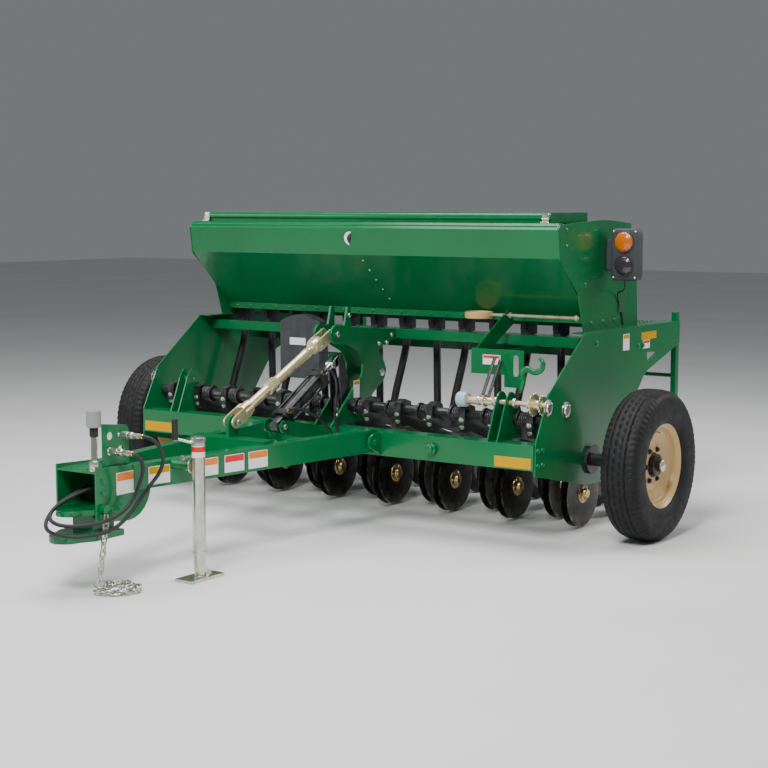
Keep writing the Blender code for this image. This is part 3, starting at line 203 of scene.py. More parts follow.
def pad(centre, size, direction=UP, across=RIGHT, power=0.3, rings=10, steps=28):
    """A rounded block: a superellipsoid, each sine and cosine raised to `power`, times half the size."""
    lat = np.linspace(-np.pi / 2, np.pi / 2, rings)[:, None]
    lon = circle(steps)[None, :]

    def bent(value):
        return np.sign(value) * np.abs(value) ** power

    flat = bent(np.cos(lat))
    local = np.stack([flat * bent(np.cos(lon)), flat * bent(np.sin(lon)), bent(np.sin(lat)) + 0 * lon], -1)
    points = local.reshape(-1, 3) * (np.asarray(size) / 2) @ axes(direction, across) + centre
    return points, grid(rings, steps)


def slab(outline, centre, depth, direction=UP, across=RIGHT, edge=0.0012):
    """A plate: a closed outline in local x and y, drawn out by depth, its rims stepped in by `edge`."""
    line = np.asarray(outline, float)
    middle = line.mean(0)
    inset = 1 - edge / np.linalg.norm(line - middle, axis=1).mean()
    shares = np.array([0, inset, 1, 1, inset, 0])
    half = depth / 2
    levels = np.array([-half, -half, -half + edge, half - edge, half, half])
    flat = middle + (line - middle)[None] * shares[:, None, None]
    local = np.concatenate([flat, np.broadcast_to(levels[:, None, None], (*flat.shape[:2], 1))], -1)
    return local.reshape(-1, 3) @ axes(direction, across) + centre, grid(6, len(line))


def rounded(width, height, corner, steps=5):
    """The outline of a rectangle with round corners: quarter circles of radius `corner` at its corners."""
    angle = np.linspace(0, np.pi / 2, steps)
    quarter = np.stack([np.cos(angle), np.sin(angle)], -1) * corner
    turns = [np.array([[c, s], [-s, c]]) for c, s in ((1, 0), (0, 1), (-1, 0), (0, -1))]
    places = [(1, 1), (-1, 1), (-1, -1), (1, -1)]
    half = np.array([width, height]) / 2 - corner
    return np.concatenate([quarter @ turn + half * place for turn, place in zip(turns, places)])


def smooth(route, each=8):
    """Points on a Catmull-Rom curve through a route, with its first and last legs kept straight."""
    p = np.asarray(route, float)
    a, b, c, d = (p[k:len(p) - 3 + k][:, None] for k in range(4))
    t = (np.arange(each) / each)[None, :, None]
    legs = 0.5 * (2 * b + (c - a) * t + (2 * a - 5 * b + 4 * c - d) * t**2 + (3 * b - a - 3 * c + d) * t**3)
    return np.concatenate([p[:1], legs.reshape(-1, 3), p[-2:]])


def lengths(path):
    """Running length along a line of points."""
    return np.concatenate([[0], np.cumsum(np.linalg.norm(np.diff(path, axis=0), axis=1))])


def even(path, spacing):
    """The same line with points at even steps, found by interpolating each coordinate over its length."""
    run = lengths(path)
    goal = np.linspace(0, run[-1], max(2, int(round(run[-1] / spacing)) + 1))
    return np.stack([np.interp(goal, run, path[:, k]) for k in range(3)], -1)


def sweep(path, radius, sides=12, ends=True):
    """A tube: circles of the given radius across a line, each turned from the last by the least angle."""
    path = np.asarray(path, float)
    tangent = np.gradient(path, axis=0)
    tangent = tangent / np.linalg.norm(tangent, axis=1)[:, None]
    frames = [axes(tangent[0])]
    for here in tangent[1:]:
        u = frames[-1][0] - np.dot(frames[-1][0], here) * here
        frames.append(axes(here, u))
    frames = np.array(frames)
    angle = circle(sides)
    size = np.broadcast_to(np.asarray(radius, float).reshape(-1, 1, 1), (len(path), 1, 1))
    ring = np.cos(angle)[None, :, None] * frames[:, :1] + np.sin(angle)[None, :, None] * frames[:, 1:2]
    rings = path[:, None] + size * ring
    if ends:
        caps = np.repeat(path[[0, -1]][:, None], sides, 1)
        rings = np.concatenate([caps[:1], rings, caps[1:]])
    return rings.reshape(-1, 3), grid(len(rings), sides)


def relaxed(path, step, rounds):
    """A path in even steps, each inner point drawn `rounds` times towards the mean of its neighbours."""
    line = even(path, step)
    for _ in range(rounds):
        line = np.concatenate([line[:1], (line[:-2] + 2 * line[1:-1] + line[2:]) / 4, line[-1:]])
    return line


def helix(start, direction, radius, wire, pitch, turns, sides=8):
    """A coil spring: a tube along (R cos t, R sin t, pitch t / 2 pi)."""
    t = np.linspace(0, 2 * np.pi * turns, int(turns * 18) + 1)
    local = np.stack([radius * np.cos(t), radius * np.sin(t), pitch * t / (2 * np.pi)], -1)
    return sweep(local @ axes(direction) + start, wire, sides)


def hexes(places, direction, size=0.009, height=0.006, washer=0.0015):
    """Bolt heads: a six-sided turned head on a round washer, at each place, standing along `direction`."""
    head = [(0, washer + height), (size * 0.82, washer + height), (size, washer + height * 0.82),
            (size, washer)]
    ring = [(size * 1.35, washer), (size * 1.45, washer * 0.6), (size * 1.45, 0), (0, 0)]
    shell = merge(
        lathe(head, (0, 0, 0), direction, 6), lathe([(0, washer)] + ring, (0, 0, 0), direction, 16)
    )
    return repeat(shell, places)


def row(first, last, count):
    """Points at even steps between two places."""
    return np.linspace(np.asarray(first, float), np.asarray(last, float), count)


def tube_between(a, b, radius, steps=24, cut=0.002):
    """A round bar between two places, its ends chamfered by `cut`."""
    a, b = np.asarray(a, float), np.asarray(b, float)
    size = np.linalg.norm(b - a)
    profile = [(0, 0), (radius - cut, 0), (radius, cut), (radius, size - cut), (radius - cut, size),
               (0, size)]
    return lathe(profile, a, b - a, steps)


def along(low, high, reach, x=0.0, across=0.0):
    """A place on the line between two (y, z) points, `reach` along it and `across` above it."""
    low, high = np.asarray(low, float), np.asarray(high, float)
    unit = (high - low) / np.linalg.norm(high - low)
    y, z = low + unit * reach + np.array([-unit[1], unit[0]]) * across
    return np.array([x, y, z])


# ---- materials ----
def node(tree, kind, links=None, **settings):
    """A shader node with its settings made and its sockets set or linked."""
    made = tree.nodes.new(kind)
    for key, value in settings.items():
        setattr(made, key, value)
    for key, value in (links or {}).items():
        socket = made.inputs[key]
        if isinstance(value, bpy.types.NodeSocket):
            tree.links.new(value, socket)
        else:
            socket.default_value = value
    return made


def ramp(tree, value, low, high):
    """A value spread from 0 at `low` to 1 at `high`."""
    return node(tree, "ShaderNodeMapRange", {0: value, 1: low, 2: high}).outputs[0]


def times(tree, a, b, operation="MULTIPLY"):
    """Two values multiplied, or joined by another operation."""
    return node(tree, "ShaderNodeMath", {0: a, 1: b}, operation=operation).outputs[0]


def blend_colour(tree, share, a, b):
    """Colour a where the share is 0 and colour b where it is 1."""
    mixed = node(tree, "ShaderNodeMixRGB", {"Fac": share})
    for key, value in (("Color1", a), ("Color2", b)):
        if isinstance(value, bpy.types.NodeSocket):
            tree.links.new(value, mixed.inputs[key])
        else:
            mixed.inputs[key].default_value = (*value, 1)
    return mixed.outputs[0]


LOOKS = {}


def look(name):
    """The material of a slot, made the first time it is asked for."""
    if name not in LOOKS:
        LOOKS[name] = finish(name, **FINISHES[name])
    return LOOKS[name]


def finish(
    name, colour, second, rough=0.4, metal=0.0, coat=0.0, cloud=3.0, grain=300.0, bump=0.0003, dust=0.12,
    wear=0.3, worn=(0.35, 0.36, 0.36), weave=0.0, clear=0.0, streak=0.0, specular=0.35,
):
    """Paint, metal, rubber or plastic: drifting colour, dust on top, rubbed edges, grain in the bump."""
    material = bpy.data.materials.new(name)
    material.use_nodes = True
    tree = material.node_tree
    shader = tree.nodes["Principled BSDF"]
    place = node(tree, "ShaderNodeTexCoord").outputs["Object"]
    clouds = node(tree, "ShaderNodeTexNoise", {"Vector": place, "Scale": cloud, "Detail": 4.0}).outputs[0]
    base = blend_colour(tree, ramp(tree, clouds, 0.35, 0.65), colour, second)
    surface = node(tree, "ShaderNodeNewGeometry")
    facing = node(tree, "ShaderNodeSeparateXYZ", {0: surface.outputs["Normal"]}).outputs[2]
    specks = node(tree, "ShaderNodeTexNoise", {"Vector": place, "Scale": 24.0, "Detail": 5.0}).outputs[0]
    settled = times(tree, ramp(tree, facing, 0.3, 1.0), ramp(tree, specks, 0.3, 0.75))
    base = blend_colour(tree, times(tree, settled, dust), base, (0.36, 0.33, 0.27))
    edge = times(tree, ramp(tree, surface.outputs["Pointiness"], 0.515, 0.6), ramp(tree, specks, 0.4, 0.6))
    rubbed = times(tree, edge, wear)
    base = blend_colour(tree, rubbed, base, worn)
    fine = node(tree, "ShaderNodeTexNoise", {"Vector": place, "Scale": grain, "Detail": 2.0}).outputs[0]
    height = fine
    if weave:
        stretched = node(tree, "ShaderNodeTexVoronoi", {"Vector": place, "Scale": weave}).outputs[0]
        height = times(tree, fine, stretched, "ADD")
    if streak:
        squeezed = node(tree, "ShaderNodeMapping",
                        {"Vector": place, "Scale": (streak, streak * 0.02, streak)})
        lines = node(tree, "ShaderNodeTexNoise", {"Vector": squeezed.outputs[0], "Scale": 1.0}).outputs[0]
        height = times(tree, fine, lines, "ADD")
    raised = node(tree, "ShaderNodeBump", {"Height": height, "Strength": 0.6, "Distance": bump})
    tree.links.new(raised.outputs[0], shader.inputs["Normal"])
    shader.inputs["Specular IOR Level"].default_value = specular
    tree.links.new(base, shader.inputs["Base Color"])
    spread = node(tree, "ShaderNodeMapRange", {0: specks, 1: 0.3, 2: 0.7, 3: rough * 0.85, 4: rough * 1.2})
    tree.links.new(spread.outputs[0], shader.inputs["Roughness"])
    shader.inputs["Metallic"].default_value = metal
    shader.inputs["Coat Weight"].default_value = coat
    shader.inputs["Coat Roughness"].default_value = 0.08
    shader.inputs["Transmission Weight"].default_value = clear
    return material


FINISHES = {
    "green_paint": dict(colour=(0.0, 0.122, 0.034), second=(0.0, 0.142, 0.042), rough=0.22, coat=0.2,
                        cloud=1.6, grain=60, bump=0.00008, dust=0.012, wear=0.08, worn=(0.02, 0.3, 0.12)),
    "black_paint": dict(colour=(0.008, 0.009, 0.01), second=(0.014, 0.015, 0.016), rough=0.34, coat=0.25,
                        grain=220, bump=0.0003, dust=0.1, wear=0.35, worn=(0.12, 0.12, 0.13)),
    "grey_plastic": dict(colour=(0.03, 0.034, 0.04), second=(0.042, 0.047, 0.053), rough=0.55, grain=700,
                         bump=0.0003, dust=0.1, wear=0.2),
    "tyre": dict(specular=0.25, colour=(0.007, 0.007, 0.008), second=(0.012, 0.012, 0.013), rough=0.58,
                 cloud=9, grain=420, bump=0.0004, dust=0.05, wear=0.12, worn=(0.05, 0.05, 0.052)),
    "cream_paint": dict(colour=(0.56, 0.37, 0.15), second=(0.62, 0.42, 0.18), rough=0.34, coat=0.3,
                        grain=120, bump=0.0002, dust=0.08, wear=0.25, worn=(0.45, 0.4, 0.32)),
    "zinc": dict(colour=(0.62, 0.6, 0.52), second=(0.72, 0.7, 0.66), rough=0.3, metal=1.0, cloud=20,
                 grain=500, bump=0.0002, dust=0.05, wear=0.1, streak=300.0),
    "cream_zinc": dict(colour=(0.68, 0.55, 0.3), second=(0.78, 0.68, 0.46), rough=0.3, metal=0.75, cloud=14,
                       grain=300, bump=0.0002, dust=0.05, wear=0.2, worn=(0.7, 0.68, 0.6), streak=200.0),
    "chrome": dict(colour=(0.72, 0.72, 0.73), second=(0.66, 0.66, 0.68), rough=0.1, metal=1.0, grain=900,
                   bump=0.00005, dust=0.03, wear=0.0),
    "hose_rubber": dict(colour=(0.01, 0.01, 0.012), second=(0.02, 0.02, 0.022), rough=0.5, grain=900,
                        bump=0.0006, dust=0.08, wear=0.1, weave=420.0),
    "black_rubber": dict(colour=(0.008, 0.008, 0.008), second=(0.018, 0.018, 0.018), rough=0.48, grain=600,
                         bump=0.0003, dust=0.08, wear=0.2, worn=(0.08, 0.08, 0.08)),
    "disc_steel": dict(colour=(0.03, 0.028, 0.028), second=(0.06, 0.055, 0.05), rough=0.3, metal=0.8,
                       cloud=12, grain=260, bump=0.0003, dust=0.08, wear=0.6, worn=(0.5, 0.5, 0.5),
                       streak=180.0),
    "pale_blue": dict(colour=(0.36, 0.44, 0.5), second=(0.44, 0.52, 0.58), rough=0.32, coat=0.3, cloud=10,
                      grain=260, bump=0.0002, dust=0.05, wear=0.3, worn=(0.3, 0.3, 0.3)),
    "pale_plastic": dict(colour=(0.2, 0.21, 0.2), second=(0.26, 0.27, 0.26), rough=0.5, grain=500,
                         bump=0.0003, dust=0.08, wear=0.1),
    "jack_paint": dict(colour=(0.5, 0.52, 0.42), second=(0.62, 0.63, 0.53), rough=0.24, metal=0.92, cloud=16,
                       grain=200, bump=0.0001, dust=0.03, wear=0.3, worn=(0.3, 0.29, 0.27), streak=120.0),
    "brass": dict(colour=(0.7, 0.5, 0.18), second=(0.76, 0.58, 0.26), rough=0.28, metal=1.0, grain=500,
                  bump=0.0002, dust=0.05, wear=0.1),
    "white_label": dict(colour=(0.78, 0.78, 0.76), second=(0.84, 0.84, 0.82), rough=0.35, grain=700,
                        bump=0.0001, dust=0.03, wear=0.0),
    "yellow_label": dict(colour=(0.52, 0.27, 0.0), second=(0.58, 0.31, 0.0), rough=0.5, coat=0.0,
                         specular=0.08, grain=900, bump=0.0001, dust=0.03, wear=0.0, weave=500.0),
    "orange_label": dict(colour=(0.8, 0.19, 0.02), second=(0.86, 0.24, 0.03), rough=0.35, grain=700,
                         bump=0.0001, dust=0.03, wear=0.0),
    "red_label": dict(colour=(0.62, 0.02, 0.02), second=(0.7, 0.03, 0.03), rough=0.35, grain=700,
                      bump=0.0001, dust=0.03, wear=0.0),
    "amber_lens": dict(colour=(0.72, 0.13, 0.0), second=(0.8, 0.19, 0.002), rough=0.14, coat=0.8, grain=160,
                       bump=0.0008, dust=0.03, wear=0.0, clear=0.35, weave=130.0),
    "red_lens": dict(colour=(0.42, 0.006, 0.006), second=(0.5, 0.01, 0.01), rough=0.16, coat=0.6, grain=160,
                     bump=0.0006, dust=0.03, wear=0.0, weave=130.0),
    "dark_lens": dict(colour=(0.02, 0.018, 0.022), second=(0.05, 0.03, 0.034), rough=0.12, coat=0.8,
                      grain=160, bump=0.0008, dust=0.03, wear=0.0, weave=130.0),
    "floor": dict(colour=(0.7, 0.7, 0.69), second=(0.74, 0.74, 0.73), rough=0.75, cloud=0.8, grain=60,
                  bump=0.0004, dust=0.0, wear=0.0),
}


# ---- pieces ----
def piece(name, shells, finish_name, body, crease=38.0):
    """A mesh object of merged surfaces, welded where they close on themselves, riding on a body."""
    points, quads = merge(*shells) if isinstance(shells, list) else shells
    mesh = bpy.data.meshes.new(name)
    mesh.from_pydata((points + AXLE).tolist(), [], quads.tolist())
    work = bmesh.new()
    work.from_mesh(mesh)
    bmesh.ops.remove_doubles(work, verts=work.verts, dist=2e-6)
    bmesh.ops.recalc_face_normals(work, faces=work.faces)
    work.to_mesh(mesh)
    work.free()
    mesh.shade_smooth()
    mesh.set_sharp_from_angle(angle=math.radians(crease))
    mesh.materials.append(look(finish_name))
    made = bpy.data.objects.new(name, mesh)
    bpy.context.scene.collection.objects.link(made)
    if body:
        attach(made, body)
    return made


# ---- sizes shown in the sidebar ----
def metres(name, description, default):
    """A length that shows in the sidebar."""
    return bpy.props.FloatProperty(
        name=name, description=description, default=default, min=0.0001, unit="LENGTH", subtype="DISTANCE"
    )


class WheelSizes(bpy.types.PropertyGroup):
    """Sizes of the tyres' and rims' detail."""

    groove_depth: metres("Groove depth", "Depth of the grooves round the tread", 0.0085)
    groove_width: metres("Groove width", "Half width of a groove", 0.0034)
    block_depth: metres("Shoulder cut", "Depth of the cuts across the shoulders", 0.0055)
    bolt_circle: metres("Bolt circle", "Radius of the wheel bolts' circle", 0.083)


class OpenerSizes(bpy.types.PropertyGroup):
    """Sizes of the openers' detail."""

    hose_radius: metres("Seed hose radius", "Mean radius of a corrugated seed hose", 0.0205)
    hose_pitch: metres("Hose pitch", "Distance between two corrugations", 0.01)
    spring_wire: metres("Spring wire", "Radius of a spring's wire", 0.0042)
    hub_bolt: metres("Hub bolt", "Size of a disc hub's bolt head", 0.0055)


class TrimSizes(bpy.types.PropertyGroup):
    """Sizes of bolts, hoses and marks."""

    bolt: metres("Bolt head", "Half the width of a frame bolt's head", 0.011)
    rivet: metres("Rivet", "Radius of a rivet on the hopper", 0.006)
    hitch_hose: metres("Hitch hose radius", "Radius of a hitch hose", 0.0085)
    port_hose: metres("Port hose radius", "Radius of a cylinder hose", 0.0065)
    grip_pitch: metres("Grip pitch", "Distance between the walkboard's grip studs", 0.026)


SIZE_GROUPS = {"drill_wheels": WheelSizes, "drill_openers": OpenerSizes, "drill_trim": TrimSizes}
SIDES = (("right", 1), ("left", -1))


class DRILL_OT_camera(bpy.types.Operator):
    """The camera, at the height and angle the machine is looked at from."""

    bl_idname = "drill.camera"
    bl_label = "Camera"

    def execute(self, context):
        data = bpy.data.cameras.new("camera")
        data.sensor_width = SENSOR
        data.lens = SENSOR * FOCAL / FRAME_WIDTH
        made = bpy.data.objects.new("camera", data)
        made.location = CAMERA_PLACE
        level = Matrix.Rotation(math.radians(CAMERA_TURN), 4, "Z")
        made.rotation_euler = (level @ Matrix.Rotation(math.radians(90 - CAMERA_DIP), 4, "X")).to_euler()
        context.scene.collection.objects.link(made)
        context.scene.camera = made
        return {"FINISHED"}


class DRILL_OT_hitch_hoses(bpy.types.Operator):
    """The two hoses at the hitch, each a smooth tube along its route, with crimped ends."""

    bl_idname = "drill.hitch_hoses"
    bl_label = "Hitch hoses"

    def execute(self, context):
        radius = context.scene.drill_trim.hitch_hose
        for name, route in (("outer", OUTER_HOSE), ("inner", INNER_HOSE)):
            path = smooth(route, 10)
            hose = piece(f"hose_{name}", sweep(path, radius, 16), "hose_rubber", "tongue")
            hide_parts(f"hitch_hose_{name}")
            ends = []
            for start, inner in ((path[0], path[1]), (path[-1], path[-2])):
                unit = (inner - start) / np.linalg.norm(inner - start)
                crimp = [(0.0087, 0.0006), (0.0106, 0.002), (0.0106, 0.008), (0.0098, 0.01), (0.0106, 0.012),
                         (0.0106, 0.021), (0.0092, 0.024), (0.0087, 0.024)]
                ends.append(lathe(crimp, start, unit, 24))
            crimps = piece(f"hose_crimps_{name}", ends, "brass", "tongue")
        return {"FINISHED"}


class DRILL_OT_port_hoses(bpy.types.Operator):
    """The two short hoses between the lift cylinder's ports and the front tube."""

    bl_idname = "drill.port_hoses"
    bl_label = "Cylinder hoses"

    def execute(self, context):
        radius = context.scene.drill_trim.port_hose
        for name, route, reach in (("base", BASE_HOSE, 0.075), ("head", HEAD_HOSE, 0.403)):
            first = along(CYLINDER_LOW, CYLINDER_HIGH, reach, 0.0632, 0.053)
            second = along(CYLINDER_LOW, CYLINDER_HIGH, reach, 0.0782, 0.0644)
            path = relaxed(smooth([first, second, *route], 10), 0.006, 24)
            hose = piece(f"port_hose_{name}", sweep(path, radius, 14), "hose_rubber", None)
            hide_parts(f"cylinder_hose_{name}")
            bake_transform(hose)
        return {"FINISHED"}


class DRILL_OT_frame_finishes(bpy.types.Operator):
    """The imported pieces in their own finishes, with their edges broken."""

    bl_idname = "drill.frame_finishes"
    bl_label = "Frame finishes"

    def execute(self, context):
        for entry in frame["record"]["subparts"]:
            made = frame["nodes"][entry["node"]]
            made.data.materials.clear()
            made.data.materials.append(look(entry["material_slot"]))
            weld = made.modifiers.new("weld", "WELD")
            weld.merge_threshold = 0.00002
            edge = made.modifiers.new("edge", "BEVEL")
            edge.width = 0.0016
            edge.segments = 2
            edge.limit_method = "ANGLE"
            edge.angle_limit = math.radians(32)
            edge.use_clamp_overlap = True
            edge.harden_normals = True
        frame["nodes"]["jack_crank"].data.materials[0] = look("zinc")
        return {"FINISHED"}


class DRILL_OT_tyres(bpy.types.Operator):
    """The tyres: a section (r, h) turned about the axle, less smooth grooves round it and cuts across it."""

    bl_idname = "drill.tyres"
    bl_label = "Tyres"

    def execute(self, context):
        size = context.scene.drill_wheels
        tilt = np.linspace(-0.66 * np.pi, 0.66 * np.pi, 110)[:, None]
        turn = circle(300)[None, :]
        half = TYRE_WIDTH / 2 - 0.0004
        width = half * np.sign(np.sin(tilt)) * np.abs(np.sin(tilt)) ** 0.62
        width = width * np.where(np.cos(tilt) < 0, 1 - 0.34 * np.abs(np.cos(tilt)) ** 1.2, 1.0)
        rise = np.sign(np.cos(tilt)) * np.abs(np.cos(tilt)) ** 0.52
        top, middle, bead = TYRE_RADIUS - 0.0006, 0.292, 0.2075
        radius = np.where(rise > 0, middle + (top - middle) * rise, middle + (middle - bead) * rise / 0.685)
        radius = radius * (1 - 0.0022 * (width / half) ** 2 / top)
        flat = np.clip((radius - (top - 0.03)) / 0.012, 0, 1)
        zigzag = 0.0022 * np.abs(((turn * 54 / (2 * np.pi)) % 1) * 4 - 2) - 0.0022
        cuts = 0.0
        for place in (-0.044, -0.015, 0.015, 0.044):
            cuts = cuts + np.exp(-(((width - place - zigzag) / size.groove_width) ** 4))
        shoulder = np.clip((np.abs(width) - 0.056) / 0.008, 0, 1) * np.clip((radius - 0.318) / 0.01, 0, 1)
        slots = np.exp(-((((turn * 72 / (2 * np.pi)) % 1) - 0.5) / 0.16) ** 4)
        radius = radius - flat * size.groove_depth * np.clip(cuts, 0, 1)
        radius = radius - size.block_depth * shoulder * slots
        upper, lower = (np.exp(-(((radius - r) / w) ** 2)) for r, w in ((0.3, 0.0025), (0.232, 0.003)))
        lines = 0.0012 * upper + 0.0012 * lower
        walls = np.sign(width) * lines * (np.cos(tilt) < 0.35)
        width = width * np.ones_like(turn) + walls - np.sign(width) * 0.0012
        local = np.stack([radius * np.cos(turn), radius * np.sin(turn), width], -1)
        for side, sign in SIDES:
            points = local.reshape(-1, 3) @ axes((sign, 0, 0)) + (sign * WHEEL_X, 0, TYRE_RADIUS)
            made = piece(f"tread_{side}", (points, grid(110, 300)), "tyre", f"wheel_{side}", crease=60)
            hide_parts(f"tyre_{side}")
        return {"FINISHED"}


class DRILL_OT_rims(bpy.types.Operator):
    """The rims: a pressed disc and well, a black hub, a zinc cap, six bolts and a valve."""

    bl_idname = "drill.rims"
    bl_label = "Rims"

    def execute(self, context):
        size = context.scene.drill_wheels
        disc = [
            (0.0252, 0.0215), (0.07, 0.0215), (0.1, 0.0155), (0.125, 0.0145), (0.15, 0.026),
            (0.168, 0.0345),
            (0.177, 0.0345), (0.182, 0.044), (0.184, 0.058), (0.191, 0.062), (0.2015, 0.069),
            (0.2088, 0.0757),
            (0.2094, 0.0735), (0.209, 0.0705), (0.2, 0.066), (0.1896, 0.0635), (0.1896, 0.03),
            (0.176, 0.012),
            (0.176, -0.03), (0.1896, -0.05), (0.1896, -0.0635), (0.209, -0.0705), (0.2088, -0.0757),
            (0.184, -0.06), (0.17, -0.03), (0.168, 0.022), (0.12, 0.004), (0.0252, 0.004),
        ]
        hub = [
            (0.0, 0.068), (0.03, 0.068), (0.03, 0.05), (0.054, 0.046), (0.0548, 0.0218), (0.064, 0.0217),
            (0.064, 0.0025), (0.0548, 0.0022), (0.0548, -0.0598), (0.0262, -0.0598), (0.0262, 0.033),
            (0.0, 0.033),
        ]
        cap = [(0.03, 0.0682), (0.0305, 0.07), (0.029, 0.076), (0.022, 0.0805), (0.0, 0.0818)]
        for side, sign in SIDES:
            centre, out = (sign * WHEEL_X, 0, TYRE_RADIUS), (sign, 0, 0)
            body = f"wheel_{side}"
            made = piece(f"pressed_rim_{side}", turned(disc, centre, out, 96, 0.003), "cream_paint", body)
            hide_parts(f"rim_{side}")
            piece(f"hub_{side}", turned(hub, centre, out, 48, 0.002), "black_paint", body)
            piece(f"hub_cap_{side}", lathe(cap, centre, out, 48), "zinc", body)
            places = ring_of(circle(6), size.bolt_circle, 0.0205) * (sign, 1, 1) + centre
            piece(f"wheel_bolts_{side}", hexes(places, out, 0.0105, 0.011, 0.003), "black_paint", body)
            stem = np.array(centre) + (sign * 0.034, 0.0, 0.166)
            piece(f"valve_{side}", tube_between(stem, stem + (sign * 0.026, 0, -0.006), 0.0045), "brass",
                  body)
        return {"FINISHED"}


class DRILL_OT_discs(bpy.types.Operator):
    """The thirteen disc pairs: thin bevelled discs, a bolted hub each side and the axle between them."""

    bl_idname = "drill.discs"
    bl_label = "Discs"

    def execute(self, context):
        size = context.scene.drill_openers
        rim = DISC_RADIUS - 0.0002
        blade = [(0.0, 0.0182), (0.156, 0.0182), (rim, 0.0196), (rim, 0.02), (0.16, BLADE_FACE),
                 (0.05, BLADE_FACE), (0.0, BLADE_FACE)]
        hub = [(0.05, 0.0215), (0.0492, 0.024), (0.03, 0.03), (0.026, 0.034), (0.024, 0.044),
               (0.0215, 0.0472), (0.0, 0.0474)]
        for i, (x, y) in enumerate(zip(ROWS, ROW_Y)):
            blades, hubs, bolts = [], [], []
            for sign in (1, -1):
                centre, out = (x, y, DISC_Z), (sign, 0, 0)
                blades.append(lathe(blade, centre, out, 72))
                hubs.append(turned(hub, centre, out, 36, 0.0012))
                places = ring_of(circle(6), HUB_CIRCLE, 0.0262)
                bolts.append(hexes(places * (sign, 1, 1) + centre, out, size.hub_bolt, 0.0035, 0.0008))
            blades.append(tube_between((x - 0.0182, y, DISC_Z), (x + 0.0182, y, DISC_Z), 0.0148))
            number = f"{i + 1:02d}"
            made = piece(f"blades_{number}", blades, "disc_steel", f"discs_{number}")
            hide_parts(f"discs_{number}")
            piece(f"disc_hubs_{number}", hubs, "brass", f"discs_{number}")
            piece(f"hub_bolts_{number}", bolts, "zinc", f"discs_{number}")
        return {"FINISHED"}


class DRILL_OT_press_wheels(bpy.types.Operator):
    """The press wheels' rubber tyres and their hubs, and the bolts of the opener arms."""

    bl_idname = "drill.press_wheels"
    bl_label = "Press wheels"

    def execute(self, context):
        half = [(0.098, 0.0282), (0.122, 0.0286), (0.132, 0.0262), (0.145, 0.019), (0.1504, 0.01)]
        tyre = [*half, (0.1506, 0.0), *((r, -h) for r, h in reversed(half))]
        hub = [(0.0, 0.03), (0.03, 0.03), (0.036, 0.0286), (0.09, 0.028), (0.1, 0.0284)]
        tyres, hubs, bolts = [], [], []
        for x, y in zip(ROWS, ROW_Y):
            centre = (x, y + PRESS_WHEEL[0], PRESS_WHEEL[1])
            tyres.append(lathe(tyre, centre, RIGHT, 56))
            for sign in (1, -1):
                hubs.append(lathe(hub, centre, (sign, 0, 0), 28))
            reach = [(x - 0.0072, y - 0.06, 0.405), (x - 0.0072, y - 0.03, 0.388)]
            bolts.append(hexes(reach, (-1, 0, 0), 0.01, 0.006))
            clamp = [(x - 0.0192, -0.375, ROCKSHAFT[1] - 0.045), (x - 0.0192, -0.42, 0.545)]
            bolts.append(hexes(clamp, (-1, 0, 0), 0.009))
            bolts.append(hexes([(x, -0.4515, 0.58), (x, -0.4445, 0.545)], (0, -1, -0.25), 0.0095, 0.007))
        piece("press_tyres", tyres, "tyre", "openers")
        piece("press_hubs", hubs, "black_paint", "openers")
        piece("opener_bolts", bolts, "zinc", "openers")
        return {"FINISHED"}


class DRILL_OT_springs(bpy.types.Operator):
    """The coil springs beside the castings on the rockshaft, and the clamp rings that hold them."""

    bl_idname = "drill.springs"
    bl_label = "Opener springs"

    def execute(self, context):
        wire = context.scene.drill_openers.spring_wire
        coils, rings = [], []
        for x in ROWS:
            if abs(x) < 0.01:
                continue
            sign = -1 if x > 0 else 1
            start = (x + sign * 0.0235, *ROCKSHAFT)
            coils.append(helix(start, (sign, 0, 0), 0.035, wire, 0.0105, 4.5, 8))
            rings.append(turned(band(0.0283, 0.044, 0.05, 0.062), start, (sign, 0, 0), 32, 0.0015))
        piece("opener_springs", coils, "black_paint", "openers", crease=60)
        piece("spring_rings", rings, "black_paint", "openers")
        return {"FINISHED"}


